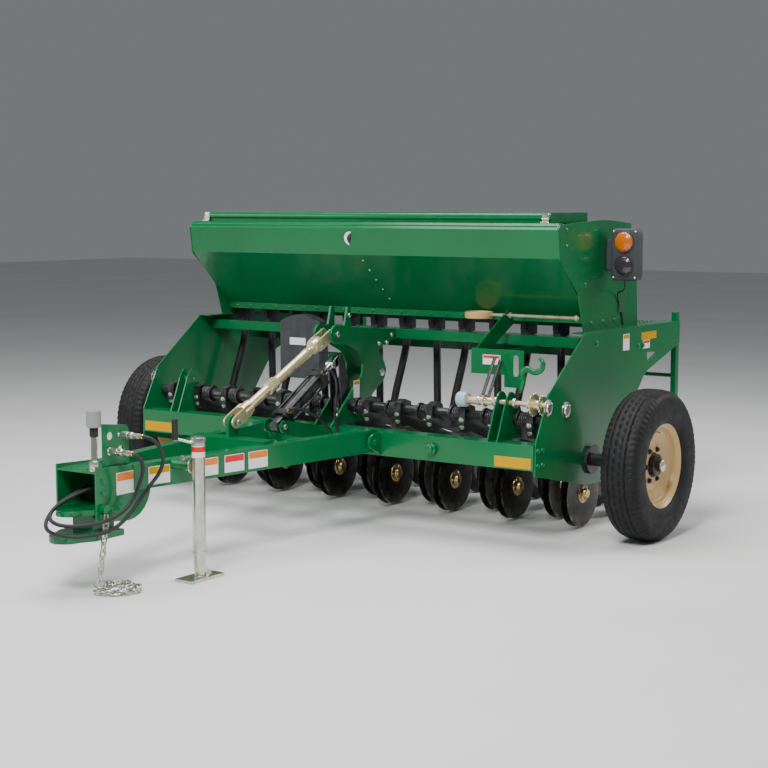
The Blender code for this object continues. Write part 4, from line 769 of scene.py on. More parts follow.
class DRILL_OT_seed_hoses(bpy.types.Operator):
    """The corrugated seed hoses: a line eased from cup to opener, with radius r + a sin(2 pi s / pitch)."""

    bl_idname = "drill.seed_hoses"
    bl_label = "Seed hoses"

    def execute(self, context):
        size = context.scene.drill_openers
        share = np.linspace(0, 1, 300)
        ease = share * share * (3 - 2 * share)
        top, foot = 0.9685, 0.4555
        collar = [(0.0, 0.016), (0.0225, 0.016), (0.0265, 0.01), (0.0265, -0.012), (0.0, -0.012)]
        hoses, cups, collars, brackets = [], [], [], []
        for x, y in zip(ROWS, ROW_Y):
            path = np.stack([x + 0 * share, CUP_Y + (y - 0.01 - CUP_Y) * ease, top + (foot - top) * share],
                            -1)
            wave = np.sin(2 * np.pi * lengths(path) / size.hose_pitch)
            hoses.append(sweep(path, size.hose_radius + 0.0022 * wave, 18))
            cups.append(pad((x, CUP_Y, 1.005), (0.046, 0.105, 0.094), power=0.16, rings=14, steps=36))
            cups.append(pad((x, 0.164, 1.01), (0.034, 0.014, 0.06), power=0.35))
            collars.append(turned(collar, (x, CUP_Y, 0.962), UP, 28, 0.0012))
            brackets.append(slab(rounded(0.04, 0.03, 0.006), (x, 0.1755, 1.046), 0.003, FRONT))
        made = piece("seed_hoses", hoses, "black_rubber", None, crease=80)
        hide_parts("seed_tubes")
        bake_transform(made)
        bar = pad((0, CUP_Y, 1.0465), (2.318, 0.089, 0.029), power=0.06, rings=14, steps=48)
        piece("cup_bar", bar, "black_paint", "frame")
        piece("seed_cups", cups, "grey_plastic", "frame")
        piece("seed_collars", collars, "black_rubber", "frame")
        screws = hexes(row((-1.14, 0.174, 1.047), (1.14, 0.174, 1.047), 25), FRONT, 0.006)
        piece("cup_brackets", [*brackets, screws], "zinc", "frame")
        return {"FINISHED"}


class DRILL_OT_cylinder(bpy.types.Operator):
    """The lift cylinder's barrel, tie-rod nuts, port fittings, gland and the bright rod."""

    bl_idname = "drill.cylinder"
    bl_label = "Lift cylinder"

    def execute(self, context):
        low, high = CYLINDER_LOW, CYLINDER_HIGH
        unit = along(low, high, 1.0) - along(low, high, 0.0)
        barrel = [(0.0, 0.0952), (0.0368, 0.0952), (0.0368, 0.3798), (0.0, 0.3798)]
        base = along(low, high, 0.0)
        body = [lathe(barrel, base, unit, 48)]
        gland = [(0.0175, 0.4252), (0.029, 0.4252), (0.029, 0.433), (0.0255, 0.4345), (0.0255, 0.44),
                 (0.0175, 0.44)]
        body.append(turned(gland, base, unit, 36, 0.0008))
        piece("cylinder_barrel", body, "black_paint", "lift_cylinder")
        nuts = []
        for x in (-0.032, 0.032):
            for across in (-0.032, 0.032):
                nuts.append(hexes(along(low, high, 0.4252, x, across), unit, 0.0098, 0.009, 0.0015))
                nuts.append(hexes(along(low, high, 0.0548, x, across), -unit, 0.0098, 0.007, 0.0015))
                tie = (along(low, high, reach, x, across) for reach in (0.0955, 0.3795))
                nuts.append(tube_between(*tie, 0.0063, 14))
        piece("cylinder_ties", nuts, "black_paint", "lift_cylinder")
        fittings = []
        for reach in (0.075, 0.403):
            start = along(low, high, reach, 0.0405, 0.0357)
            end = along(low, high, reach, 0.0622, 0.0521)
            ring = [(0.0112, 0.0), (0.0145, 0.0), (0.015, 0.001), (0.015, 0.01), (0.0145, 0.011),
                    (0.0112, 0.011)]
            fittings.append(lathe(ring, start + (end - start) * 0.12, end - start, 6))
            fittings.append(lathe(band(0.0112, 0.0126, 0.0, 0.007), start + (end - start) * 0.66, end - start,
                                  6))
        piece("cylinder_fittings", fittings, "brass", "lift_cylinder")
        tip = float(np.linalg.norm(np.array(high) - np.array(low)))
        rod = lathe([(0.0162, 0.4405), (0.0162, tip - 0.042)], base, unit, 40)
        collar = turned(band(0.0162, 0.0215, tip - 0.052, tip - 0.04), base, unit, 36)
        piece("cylinder_bright_rod", rod, "chrome", "cylinder_rod")
        piece("cylinder_rod_collar", collar, "black_paint", "cylinder_rod")
        pin = [(0.0, 0.0668), (0.0112, 0.0668), (0.0128, 0.0652), (0.0128, 0.056)]
        pins = [turned(pin, (0, *low), (sign, 0, 0), 28, 0.0008) for _, sign in SIDES]
        piece("cylinder_pin_ends", pins, "zinc", "frame")
        return {"FINISHED"}


class DRILL_OT_top_link(bpy.types.Operator):
    """The top link's sleeve with its wrench flat, lock nut, screw thread, bosses and pins."""

    bl_idname = "drill.top_link"
    bl_label = "Top link"

    def execute(self, context):
        low, high = LINK_LOW, LINK_HIGH
        size = float(np.linalg.norm(np.array(high) - np.array(low)))
        base, unit = along(low, high, 0.0), along(low, high, 1.0) - along(low, high, 0.0)
        end = size - 0.19
        sleeve = [(0.0246, 0.1435), (0.0246, end - 0.04), (0.0262, end - 0.034), (0.0262, end - 0.002),
                  (0.025, end), (0.0145, end)]
        boss = [(0.0, 0.0828), (0.0318, 0.0828), (0.0332, 0.0842), (0.0332, 0.1418), (0.0318, 0.1434),
                (0.0245, 0.1434)]
        flats = lathe([(0.0247, 0.3), (0.032, 0.302), (0.032, 0.372), (0.0247, 0.374)], base, unit, 6)
        piece("link_sleeve", [lathe(sleeve, base, unit, 40), lathe(boss, base, unit, 40)], "cream_zinc",
              "turnbuckle_tube")
        piece("link_flats", flats, "cream_zinc", "turnbuckle_tube")
        reach = np.linspace(end + 0.0008, size - 0.148, 260)
        thread = 0.01335 + 0.00055 * np.sin(2 * np.pi * reach / 0.0035)
        screw = lathe(np.stack([thread, reach], -1), base, unit, 28)
        head = [(0.0135, size - 0.1476), (0.0338, size - 0.1476), (0.0352, size - 0.146),
                (0.0352, size - 0.084), (0.0338, size - 0.0824), (0.0, size - 0.0824)]
        nut = lathe([(0.0136, end + 0.004), (0.0225, end + 0.004), (0.024, end + 0.006), (0.024, end + 0.018),
                     (0.0225, end + 0.02), (0.0136, end + 0.02)], base, unit, 6)
        piece("link_screw", [screw, lathe(head, base, unit, 40), nut], "cream_zinc", "turnbuckle_rod",
              crease=50)
        for place, reach_x, body in (((0, *low), 0.0468, "tongue"), ((0, *high), 0.0708, "frame")):
            pin = [(0.0, reach_x), (0.0112, reach_x), (0.0129, reach_x - 0.0016), (0.0129, reach_x - 0.008)]
            shells = []
            for _, sign in SIDES:
                shells.append(turned(pin, place, (sign, 0, 0), 28, 0.0008))
                start = np.array(place) + (sign * (reach_x - 0.006), 0, 0)
                shells.append(tube_between(start - (0, 0, 0.019), start + (0, 0, 0.019), 0.0026, 10, 0.0004))
            piece(f"link_pins_{body}", shells, "zinc", body)
        return {"FINISHED"}


class DRILL_OT_jack(bpy.types.Operator):
    """The jack: round outer and inner tubes, foot rim, gusset, bands, flange, lock pin and crank grip."""

    bl_idname = "drill.jack"
    bl_label = "Jack"

    def execute(self, context):
        x, y = JACK_X, JACK_Y
        outer = [(0.0, 0.6284), (0.0296, 0.6284), (0.0322, 0.627), (0.0344, 0.619), (0.0344, 0.599),
                 (0.0289, 0.595),
                 (0.0289, 0.125), (0.0302, 0.124), (0.0302, 0.108), (0.0289, 0.1048), (0.0256, 0.1048)]
        piece("jack_outer", lathe(outer, (x, y, 0), UP, 48), "jack_paint", "jack_tube")
        inner = [(0.0251, 0.104), (0.0251, 0.0165), (0.0295, 0.0124)]
        rim = slab(rounded(0.0998, 0.2198, 0.012), (x, y, 0.0124), 0.001, UP, RIGHT, 0.0004)
        gusset = slab([(0.0, 0.0), (0.055, 0.0), (0.004, 0.045), (0.0, 0.045)], (x, y + 0.0252, 0.0125),
                      0.005, RIGHT, (0, 1, 0), 0.0008)
        piece("jack_inner", [lathe(inner, (x, y, 0), UP, 48), rim, gusset], "jack_paint", "jack_leg")
        for name, low, high, radius in (("white", 0.54, 0.592, 0.0293), ("red", 0.564, 0.588, 0.0295)):
            wrap = [(radius - 0.0006, low), (radius, low + 0.0003), (radius, high - 0.0003),
                    (radius - 0.0006, high)]
            piece(f"jack_band_{name}", lathe(wrap, (x, y, 0), UP, 48), f"{name}_label", "jack_tube")
        ring = [(0.0, 0.0006), (0.0352, 0.0006), (0.0364, 0.0018), (0.0364, 0.006), (0.0352, 0.0075),
                (0.0, 0.0075)]
        pin_x, pin_z = 0.2655, JACK_SWIVEL_Z
        pin = [tube_between((pin_x, y - 0.062, pin_z), (pin_x, y + 0.012, pin_z), 0.0045, 14, 0.001),
               turned(band(0.0, 0.012, 0.0, 0.006), (pin_x, y - 0.064, pin_z), FRONT, 20)]
        piece("jack_flange", lathe(ring, (0.2645, y, 0.5), RIGHT, 40), "jack_paint", "jack_tube")
        piece("jack_lock_pin", pin, "zinc", "jack_tube")
        grip = row((x, y - 0.15, 0.632), (x, y - 0.15, 0.7235), 60)
        wave = 0.0136 + 0.0008 * np.sin(np.linspace(0, 2 * np.pi * 9, 60))
        piece("jack_grip", sweep(grip, wave, 28), "black_rubber", "jack_tube", crease=70)
        return {"FINISHED"}


class DRILL_OT_hitch_trim(bpy.types.Operator):
    """The hitch: couplers with their bands, the post with its collar and cap, bolts and the chain."""

    bl_idname = "drill.hitch_trim"
    bl_label = "Hitch fittings"

    def execute(self, context):
        body_line = [(0.0, 0.2047), (0.0094, 0.2047), (0.0118, 0.2035), (0.0118, 0.1905), (0.0119, 0.172),
                     (0.0148, 0.166),
                     (0.0149, 0.15), (0.0136, 0.1485), (0.0136, 0.1455), (0.0149, 0.144), (0.0149, 0.104),
                     (0.014, 0.1015), (0.0108, 0.0998), (0.0108, 0.0702), (0.0, 0.0702)]
        mark = [(0.0138, 0.1458), (0.0148, 0.1459), (0.0148, 0.1482), (0.0138, 0.1483)]
        for name, y, z, colour in COUPLERS:
            body = turned(body_line, (0, y, z), RIGHT, 32, 0.0006)
            made = piece(f"coupler_body_{name}", body, "zinc", "tongue")
            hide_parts(f"coupler_{name}")
            piece(f"coupler_band_{name}", lathe(mark, (0, y, z), RIGHT, 32), colour, "tongue")
        collar = [(0.0, 0.699), (0.0188, 0.699), (0.019, 0.6645), (0.0165, 0.6605), (0.0, 0.66)]
        post = [(0.0, 0.661), (0.014, 0.6605), (0.014, 0.56), (0.0218, 0.556), (0.0218, 0.53),
                (0.0206, 0.5285), (0.0218, 0.527), (0.0218, 0.5136), (0.0, 0.5136)]
        cap = [(0.0, 0.7776), (0.02, 0.777), (0.028, 0.7745), (0.0316, 0.769), (0.0319, 0.704), (0.03, 0.702),
               (0.019, 0.7), (0.0, 0.7)]
        made = piece("post_stem", turned(post, POST, UP, 36, 0.0008), "jack_paint", "tongue")
        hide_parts("cap_post")
        piece("post_collar", turned(collar, POST, UP, 36, 0.0008), "black_rubber", "tongue")
        piece("post_cap", turned(cap, POST, UP, 48, 0.0015), "pale_plastic", "tongue")
        bolts = [hexes([(sign * 0.1202, y, z) for y, z in HITCH_BOLTS], (sign, 0, 0), 0.0115, 0.008, 0.002)
                 for _, sign in SIDES]
        bolts.append(hexes([(0.098, -2.245, 0.53), (0.098, -2.12, 0.53)], RIGHT, 0.007, 0.005))
        deck = [(0.03, -2.3, 0.5132), (-0.06, -2.3, 0.5132), (-0.06, -2.1, 0.5132)]
        bolts.append(hexes(deck, UP, 0.009))
        piece("hitch_bolts", bolts, "green_paint", "tongue")
        return self.chain()

    def chain(self):
        """The chain: links hanging from the hitch, then a spiral of them on the ground under the hook."""
        x, y, z = CHAIN_TOP
        drop = smooth([(x, y, z), (x, y - 0.001, z - 0.03), (x + 0.005, y - 0.03, 0.16),
                       (x + 0.008, y - 0.05, 0.06), (x + 0.008, y - 0.05, 0.0292)], 14)
        turn = np.linspace(0, 2 * np.pi * 3.1, 280)
        reach = np.linspace(0.094, 0.02, 280) + 0.007 * np.sin(2.7 * turn)
        heap_x, heap_y = x + 0.044, y + 0.02
        heap = np.stack([heap_x + reach * np.cos(turn - 2.4), heap_y + reach * np.sin(turn - 2.4),
                         0.0178 + 0.012 * np.clip((0.094 - reach) / 0.074, 0, 1)], -1)
        made = piece("chain_links", self.links(even(drop, 0.031)), "zinc", "tongue", crease=80)
        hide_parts("chain_drop")
        pile = piece("chain_heap", self.links(even(heap, 0.031)), "zinc", "tongue", crease=80)
        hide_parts("chain_pile")
        hook_path = smooth([(heap_x + 0.02, heap_y - 0.03, 0.03), (heap_x + 0.03, heap_y - 0.01, 0.031),
                            (heap_x + 0.038, heap_y + 0.014, 0.028), (heap_x + 0.03, heap_y + 0.034, 0.024),
                            (heap_x + 0.012, heap_y + 0.034, 0.023), (heap_x + 0.008, heap_y + 0.02, 0.024)],
                            8)
        piece("chain_hook", sweep(hook_path, 0.0052, 12), "zinc", "tongue")
        return {"FINISHED"}

    def links(self, path):
        """Round bars bent along (a cos t, b sin t) with straight sides, each a quarter turn from the last."""
        middle = (path[1:] + path[:-1]) / 2
        tangent = np.diff(path, axis=0)
        turn = circle(28)
        straight = np.clip(np.cos(turn) * 2.2, -1, 1) * 0.009
        shells = []
        for k, (centre, unit) in enumerate(zip(middle, tangent)):
            flat, upright, on = axes(unit, (1, 0.2, 0.3))
            spread = flat if k % 2 else upright
            loop = centre + np.outer(np.cos(turn) * 0.0118 + straight, on)
            loop = loop + np.outer(np.sin(turn) * 0.0122, spread)
            shells.append(sweep(np.concatenate([loop, loop[:2]]), 0.0042, 8, ends=False))
        return shells


class DRILL_OT_lamps(bpy.types.Operator):
    """The lamps: a moulded housing, a ribbed amber lens over a dark one, a red one behind, and the cable."""

    bl_idname = "drill.lamps"
    bl_label = "Lamps"

    def execute(self, context):
        share = np.linspace(0, 1, 22)
        lens = [(0.0, 0.0075), (0.025, 0.0068), (0.04, 0.004), (0.044, 0.0), (0.0, 0.0)]
        for side, sign in SIDES:
            low, high = (np.array(corner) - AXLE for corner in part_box(f"lamp_{side}"))
            x = sign * LAMP_X
            middle = (x, (low[1] + 0.022 + high[1]) / 2, (low[2] + high[2]) / 2)
            shell = pad(middle, (0.149, 0.07, 0.264), power=0.2, rings=24, steps=56)
            foot = pad((sign * 1.195, 0.295, 1.38), (0.039, 0.039, 0.159), power=0.18, rings=12, steps=36)
            bezels, amber, dark = [], [], []
            for z, radius, into in ((1.448, 0.0515, amber), (1.328, 0.05, dark)):
                place = (x, LAMP_FACE_Y, z)
                hood = [(radius, 0.014), (radius + 0.003, 0.016), (radius + 0.005, 0.012),
                        (radius + 0.006, 0.0), (radius, 0.0)]
                bezels.append(turned(hood, place, FRONT, 40))
                bow = share * np.pi / 2
                rise = 0.012 + 0.0175 * np.cos(bow) - 0.0006 + 0.0005 * np.sin(share * np.pi * 14)
                into.append(lathe(np.stack([radius * 0.975 * np.sin(bow), rise], -1), place, FRONT, 48))
            made = piece(f"lamp_shell_{side}", [shell, foot, *bezels], "grey_plastic", "frame")
            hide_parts(f"lamp_{side}")
            rear = turned(lens, (x, high[1] - 0.001, 1.428), (0, 1, 0), 40)
            piece(f"lamp_red_{side}", rear, "red_lens", "frame")
            piece(f"lamp_amber_{side}", amber, "amber_lens", "frame")
            piece(f"lamp_dark_{side}", dark, "dark_lens", "frame")
            screws = [(x + dx, 0.2566, z) for dx in (-0.06, 0.06) for z in (1.268, 1.5)]
            piece(f"lamp_screws_{side}", hexes(screws, FRONT, 0.0045, 0.003), "zinc", "frame")
            route = np.array([
                (1.262, 0.318, 1.2492), (1.262, 0.322, 1.236), (1.24, 0.35, 1.2), (1.19, 0.385, 1.18),
                (1.1795, 0.42, 1.13), (1.1795, 0.452, 1.08), (1.1795, 0.47, 1.03),
                (1.1795, 0.474, 1.0115),
            ]) * (sign, 1, 1)
            piece(f"lamp_cable_{side}", sweep(smooth(route, 8), 0.0036, 10), "black_rubber", "frame")
            clip = pad((sign * 1.1805, 0.435, 1.104), (0.01, 0.026, 0.05), power=0.3)
            piece(f"lamp_joint_{side}", clip, "grey_plastic", "frame")
        return {"FINISHED"}


class DRILL_OT_hopper_trim(bpy.types.Operator):
    """The hopper: hem, sill strip, rivets, bolts, level gauge, latches, and the lid's roll and hinges."""

    bl_idname = "drill.hopper_trim"
    bl_label = "Hopper trim"

    def execute(self, context):
        trim = context.scene.drill_trim
        hem = row((-1.158, -0.2345, 1.5385), (1.158, -0.2345, 1.5385), 2) + (0, 0.0125, -0.01)
        hem = tube_between(*hem, 0.006, 16)
        sill = pad((0, 0.092, 1.056), (2.31, 0.01, 0.034), power=0.08, rings=8, steps=32)
        piece("hopper_hem", [hem, sill], "green_paint", "frame")
        front = np.array([0, -0.212, 1.372]) - (0, -0.2315, 1.511)
        normal = np.array([0, front[2], -front[1]])
        normal = normal / np.linalg.norm(normal)
        lower = np.array([0, 0.098, 1.064]) - (0, -0.214, 1.372)
        out = np.array([0, lower[2], -lower[1]])
        out = out / np.linalg.norm(out)
        dome = [(trim.rivet, 0.0), (trim.rivet * 0.86, 0.0018), (trim.rivet * 0.5, 0.003), (0.0, 0.0034)]
        line = row((-0.014, -0.184, 1.342), (0.009, 0.03, 1.132), 5)
        piece("hopper_rivets", repeat(lathe(dome, (0, 0, 0), out, 16), line + out * 0.0022), "zinc", "frame")
        bolts = [hexes(row((-1.1, 0.0868, 1.056), (1.1, 0.0868, 1.056), 24), FRONT, 0.007, 0.004)]
        ends = [(0.12, 1.04), (0.25, 1.04), (0.38, 1.04), (-0.15, 1.43), (0.05, 1.235), (0.48, 1.35),
                (0.47, 1.48), (-0.15, 1.51)]
        for _, sign in SIDES:
            bolts.append(hexes([(sign * 1.1753, y, z) for y, z in ends], (sign, 0, 0), 0.0085, 0.005))
        piece("hopper_bolts", bolts, "green_paint", "frame")
        gauge = np.array([-0.068, -0.2262, 1.458]) + normal * 0.0012
        angle = np.linspace(-1.9, 1.4, 29)
        width = 0.017 * np.clip(np.cos((angle + 0.25) * 0.95), 0, None) ** 0.5
        height = 0.0026 * (width > 0.001)
        spoke = np.stack([-np.cos(angle), -np.sin(angle)], -1)
        rims = spoke[:, None] * (0.036 - np.stack([0 * width, 0 * width, width, width], 1))[..., None]
        rise = height[:, None] * np.array([0, 1, 1, 0])
        sheet = np.concatenate([rims, rise[..., None]], -1).reshape(-1, 3)
        crescent = (sheet @ axes(normal, RIGHT) + gauge, grid(29, 4))
        knob = [(0.0, 0.0), (0.012, 0.0), (0.012, 0.004), (0.005, 0.0052), (0.0, 0.0052)]
        hub = turned(knob, gauge + (-0.004, 0, 0), normal, 32, 0.0006)
        pointer = [(-0.004, -0.02), (0.004, -0.02), (0.0025, 0.026), (-0.0025, 0.026)]
        needle = slab(pointer, gauge + normal * 0.005, 0.0012, normal, (0.25, 0.75, 0), 0.0003)
        piece("level_gauge", crescent, "white_label", "frame")
        piece("level_needle", [hub, needle], "black_paint", "frame")
        for name, sign in SIDES:
            x = sign * LATCH_X
            strap = pad((x, -0.1905, 1.568), (0.034, 0.006, 0.048), power=0.25)
            hook = tube_between((x - 0.02, -0.195, 1.564), (x + 0.02, -0.195, 1.564), 0.0042, 14, 0.001)
            keep = pad((x, -0.201, 1.5465), (0.044, 0.018, 0.01), power=0.3)
            piece(f"lid_latch_{name}", [strap, hook], "zinc", "lid")
            piece(f"lid_keep_{name}", keep, "zinc", "frame")
        roll = tube_between((-1.1045, -0.17, 1.574), (1.1045, -0.17, 1.574), 0.0195, 32, 0.002)
        piece("lid_roll", roll, "green_paint", "lid")
        hinges = [tube_between((x - 0.06, 0.208, 1.555), (x + 0.06, 0.208, 1.555), 0.006, 16)
                  for x in (-0.9, -0.3, 0.3, 0.9)]
        piece("lid_hinges", hinges, "black_paint", "lid")
        return {"FINISHED"}


class DRILL_OT_walkboard_grip(bpy.types.Operator):
    """The grip: rows of small ring-shaped studs on the walkboard, and beads along the ladders' steps."""

    bl_idname = "drill.walkboard_grip"
    bl_label = "Walkboard grip"

    def execute(self, context):
        pitch = context.scene.drill_trim.grip_pitch
        low, high = (np.array(corner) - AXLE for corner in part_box("walkboard"))
        xs = np.arange(low[0] + 0.03, high[0] - 0.03, pitch)
        ys = np.arange(low[1] + 0.025, high[1] - 0.025, pitch * 0.9)
        gx, gy = np.meshgrid(xs, ys)
        gx = gx + (np.arange(len(ys))[:, None] % 2) * pitch / 2
        places = np.stack([gx, gy, 0 * gx + high[2] - 0.0002], -1).reshape(-1, 3)
        places = places[places[:, 0] < high[0] - 0.02]
        ring = [(0.0085, 0.0), (0.0072, 0.0026), (0.0058, 0.0026), (0.005, 0.0006), (0.0, 0.0006)]
        piece("walkboard_studs", repeat(lathe(ring, (0, 0, 0), UP, 10), places), "green_paint", "frame")
        for side, sign in SIDES:
            steps = [lathe([(0.0112, -0.003), (0.0124, 0.0), (0.0112, 0.003)], (x, 1.033, z), RIGHT, 16)
                     for z in (0.52, 0.7) for x in np.linspace(0.9, 1.19, 14) * sign]
            piece(f"ladder_grip_{side}", steps, "green_paint", "frame")
        return {"FINISHED"}


class DRILL_OT_frame_trim(bpy.types.Operator):
    """The frame: reflectors, the tube's stub, bolts, the end bearings and the mast's bolts and bosses."""

    bl_idname = "drill.frame_trim"
    bl_label = "Frame trim"

    def execute(self, context):
        bolt = context.scene.drill_trim.bolt
        strips = [slab(rounded(0.2, 0.052, 0.003), (x, TUBE_FACE - 0.0006, 0.418), 0.001, FRONT, RIGHT,
                       0.0002) for x in (-1.12, 1.125)]
        strips += [slab(rounded(0.18, 0.04, 0.003), (sign * 1.2456, 0.65, 0.948), 0.001, (sign, 0, 0),
                        (0, 1, 0), 0.0002) for _, sign in SIDES]
        piece("reflectors", strips, "yellow_label", "frame")
        stub = [(0.0, 0.034), (0.017, 0.034), (0.019, 0.032), (0.019, 0.022), (0.027, 0.02), (0.029, 0.016),
                (0.029, 0.0)]
        stub = turned(stub, (0.672, TUBE_FACE, 0.444), FRONT, 40, 0.0015)
        piece("tube_stub", stub, "green_paint", "frame")
        places = [(-0.545, 0.48), (-0.5, 0.48), (-0.545, 0.41), (-0.5, 0.41), (0.525, 0.9), (0.575, 0.9),
                  (0.046, 0.946)]
        bolts = [hexes([(sign * PLATE_FACE, y, z) for y, z in places], (sign, 0, 0), bolt, 0.007) for _,
                 sign in SIDES]
        for x in (0.3, 0.372, -0.3, -0.372):
            bolts.append(hexes([(x, -0.5738, 0.497)], FRONT, 0.008, 0.005))
        piece("frame_bolts", bolts, "green_paint", "frame")
        flange = [(0.0, 0.0), (0.04, 0.0), (0.04, 0.003), (0.026, 0.0045), (0.024, 0.012), (0.015, 0.013),
                  (0.0, 0.013)]
        bearing, turn, circle_radius = [], np.array([0.5, 2.6, 4.7]), 0.032
        for _, sign in SIDES:
            x, out = sign * PLATE_FACE, (sign, 0, 0)
            for y, z in ((-0.449, 0.674), (-0.268, 0.646)):
                bearing.append(turned(flange, (x, y, z), out, 40))
                ring = circle_radius * np.cos(turn), circle_radius * np.sin(turn)
                places = np.stack([0 * turn + x + sign * 0.003, y + ring[0], z + ring[1]], -1)
                bearing.append(hexes(places, out, 0.006, 0.004, 0.001))
        piece("end_bearings", bearing, "zinc", "frame")
        mast, boss = [], [(0.0, 0.0), (0.0205, 0.0), (0.0205, 0.004), (0.0, 0.005)]
        places = [(-0.52, 0.56), (-0.36, 0.56), (-0.14, 0.905), (-0.07, 0.905), (-0.02, 0.945), (-0.41, 1.07)]
        for _, sign in SIDES:
            mast.append(hexes([(sign * MAST_FACE, y, z) for y, z in places], (sign, 0, 0), 0.0095, 0.006))
            mast.append(turned(boss, (sign * MAST_FACE, -0.115, 0.748), (sign, 0, 0), 32))
        piece("mast_bolts", mast, "zinc", "frame")
        return {"FINISHED"}


class DRILL_OT_drive_trim(bpy.types.Operator):
    """The drive: feed shaft with sprockets, cap and collars, the chain, the clutch arm and the rate wheel."""

    bl_idname = "drill.drive_trim"
    bl_label = "Drive"

    def execute(self, context):
        centre = FEED_SHAFT

        def sprocket(x, radius, teeth):
            """A toothed plate: the radius plus a flat-topped sine of teeth x angle."""
            angle = circle(teeth * 8)
            edge = radius - 0.0035 + 0.0035 * np.clip(1.6 * np.sin(teeth * angle), -1, 1)
            outline = np.stack([edge * np.cos(angle), edge * np.sin(angle)], -1)
            return slab(outline, (x, *centre[1:]), 0.004, RIGHT, (0, 1, 0), 0.0008)

        shaft = [(0.0, 1.2365), (0.0129, 1.2365), (0.0129, 1.222), (0.024, 1.222), (0.024, 1.14),
                 (0.0129, 1.14), (0.0129, 0.945), (0.0192, 0.945), (0.0192, 0.8), (0.0129, 0.8)]
        wheels = [sprocket(1.217, 0.0495, 17), sprocket(1.171, 0.0575, 20), sprocket(0.9, 0.034, 11)]
        made = piece("feed_shaft", [turned(shaft, centre, RIGHT, 36), *wheels], "cream_zinc", "drive_shaft")
        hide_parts("drive_shaft")
        cap = [(0.0129, 0.801), (0.032, 0.801), (0.0375, 0.797), (0.038, 0.756), (0.035, 0.748),
               (0.026, 0.744), (0.0, 0.7435)]
        piece("shaft_cap", turned(cap, centre, RIGHT, 48, 0.002), "pale_blue", "drive_shaft")
        collars = [turned(band(0.013, 0.0245, x, x + 0.014), centre, RIGHT, 32) for x in (0.955, 1.06, 0.86)]
        piece("shaft_collars", collars, "zinc", "drive_shaft")
        plates = pad((0, 0, 0), (0.015, 0.011, 0.016), RIGHT, (0, 0.54, 0.84), 0.5, 6, 12)
        runs = ([(-0.418, 0.706), (-0.345, 0.82), (-0.313, 0.87)],
                [(-0.472, 0.723), (-0.395, 0.84), (-0.362, 0.89)])
        chain = [repeat(plates, even(np.array([(0.9, y, z) for y, z in run]), 0.0127)) for run in runs]
        piece("drive_chain", chain, "black_paint", "frame")
        route = smooth([(1.078, -0.42, 0.738), (1.086, -0.425, 0.75), (1.098, -0.43, 0.79),
                        (1.094, -0.43, 0.83),
                        (1.12, -0.43, 0.852), (1.16, -0.43, 0.838), (1.196, -0.43, 0.852),
                        (1.206, -0.43, 0.884), (1.192, -0.43, 0.902), (1.186, -0.43, 0.906)], 8)
        girth = np.interp(np.linspace(0, 1, len(route)), [0, 0.3, 0.7, 1], [0.011, 0.015, 0.014, 0.008])
        piece("clutch_arm", sweep(route, girth, 16), "green_paint", "frame")
        wheel = [(0.0, 0.02), (0.06, 0.02), (0.062, 0.034), (0.07, 0.036), (0.074, 0.032), (0.074, 0.004),
                 (0.07, 0.0), (0.0, 0.0)]
        wheel = turned(wheel, (0.593, RATE_Y, 1.05), UP, 56, 0.0015)
        piece("rate_wheel", wheel, "cream_paint", "frame")
        rod = tube_between((0.665, RATE_Y, RATE_Z), (1.1685, RATE_Y, RATE_Z), 0.0083, 24, 0.001)
        ends = [turned(band(0.0083, 0.015, x, x + 0.01), (0, RATE_Y, RATE_Z), RIGHT, 24)
                for x in (0.775, 1.15)]
        piece("rate_rod", [rod, *ends], "cream_zinc", "frame")
        return {"FINISHED"}


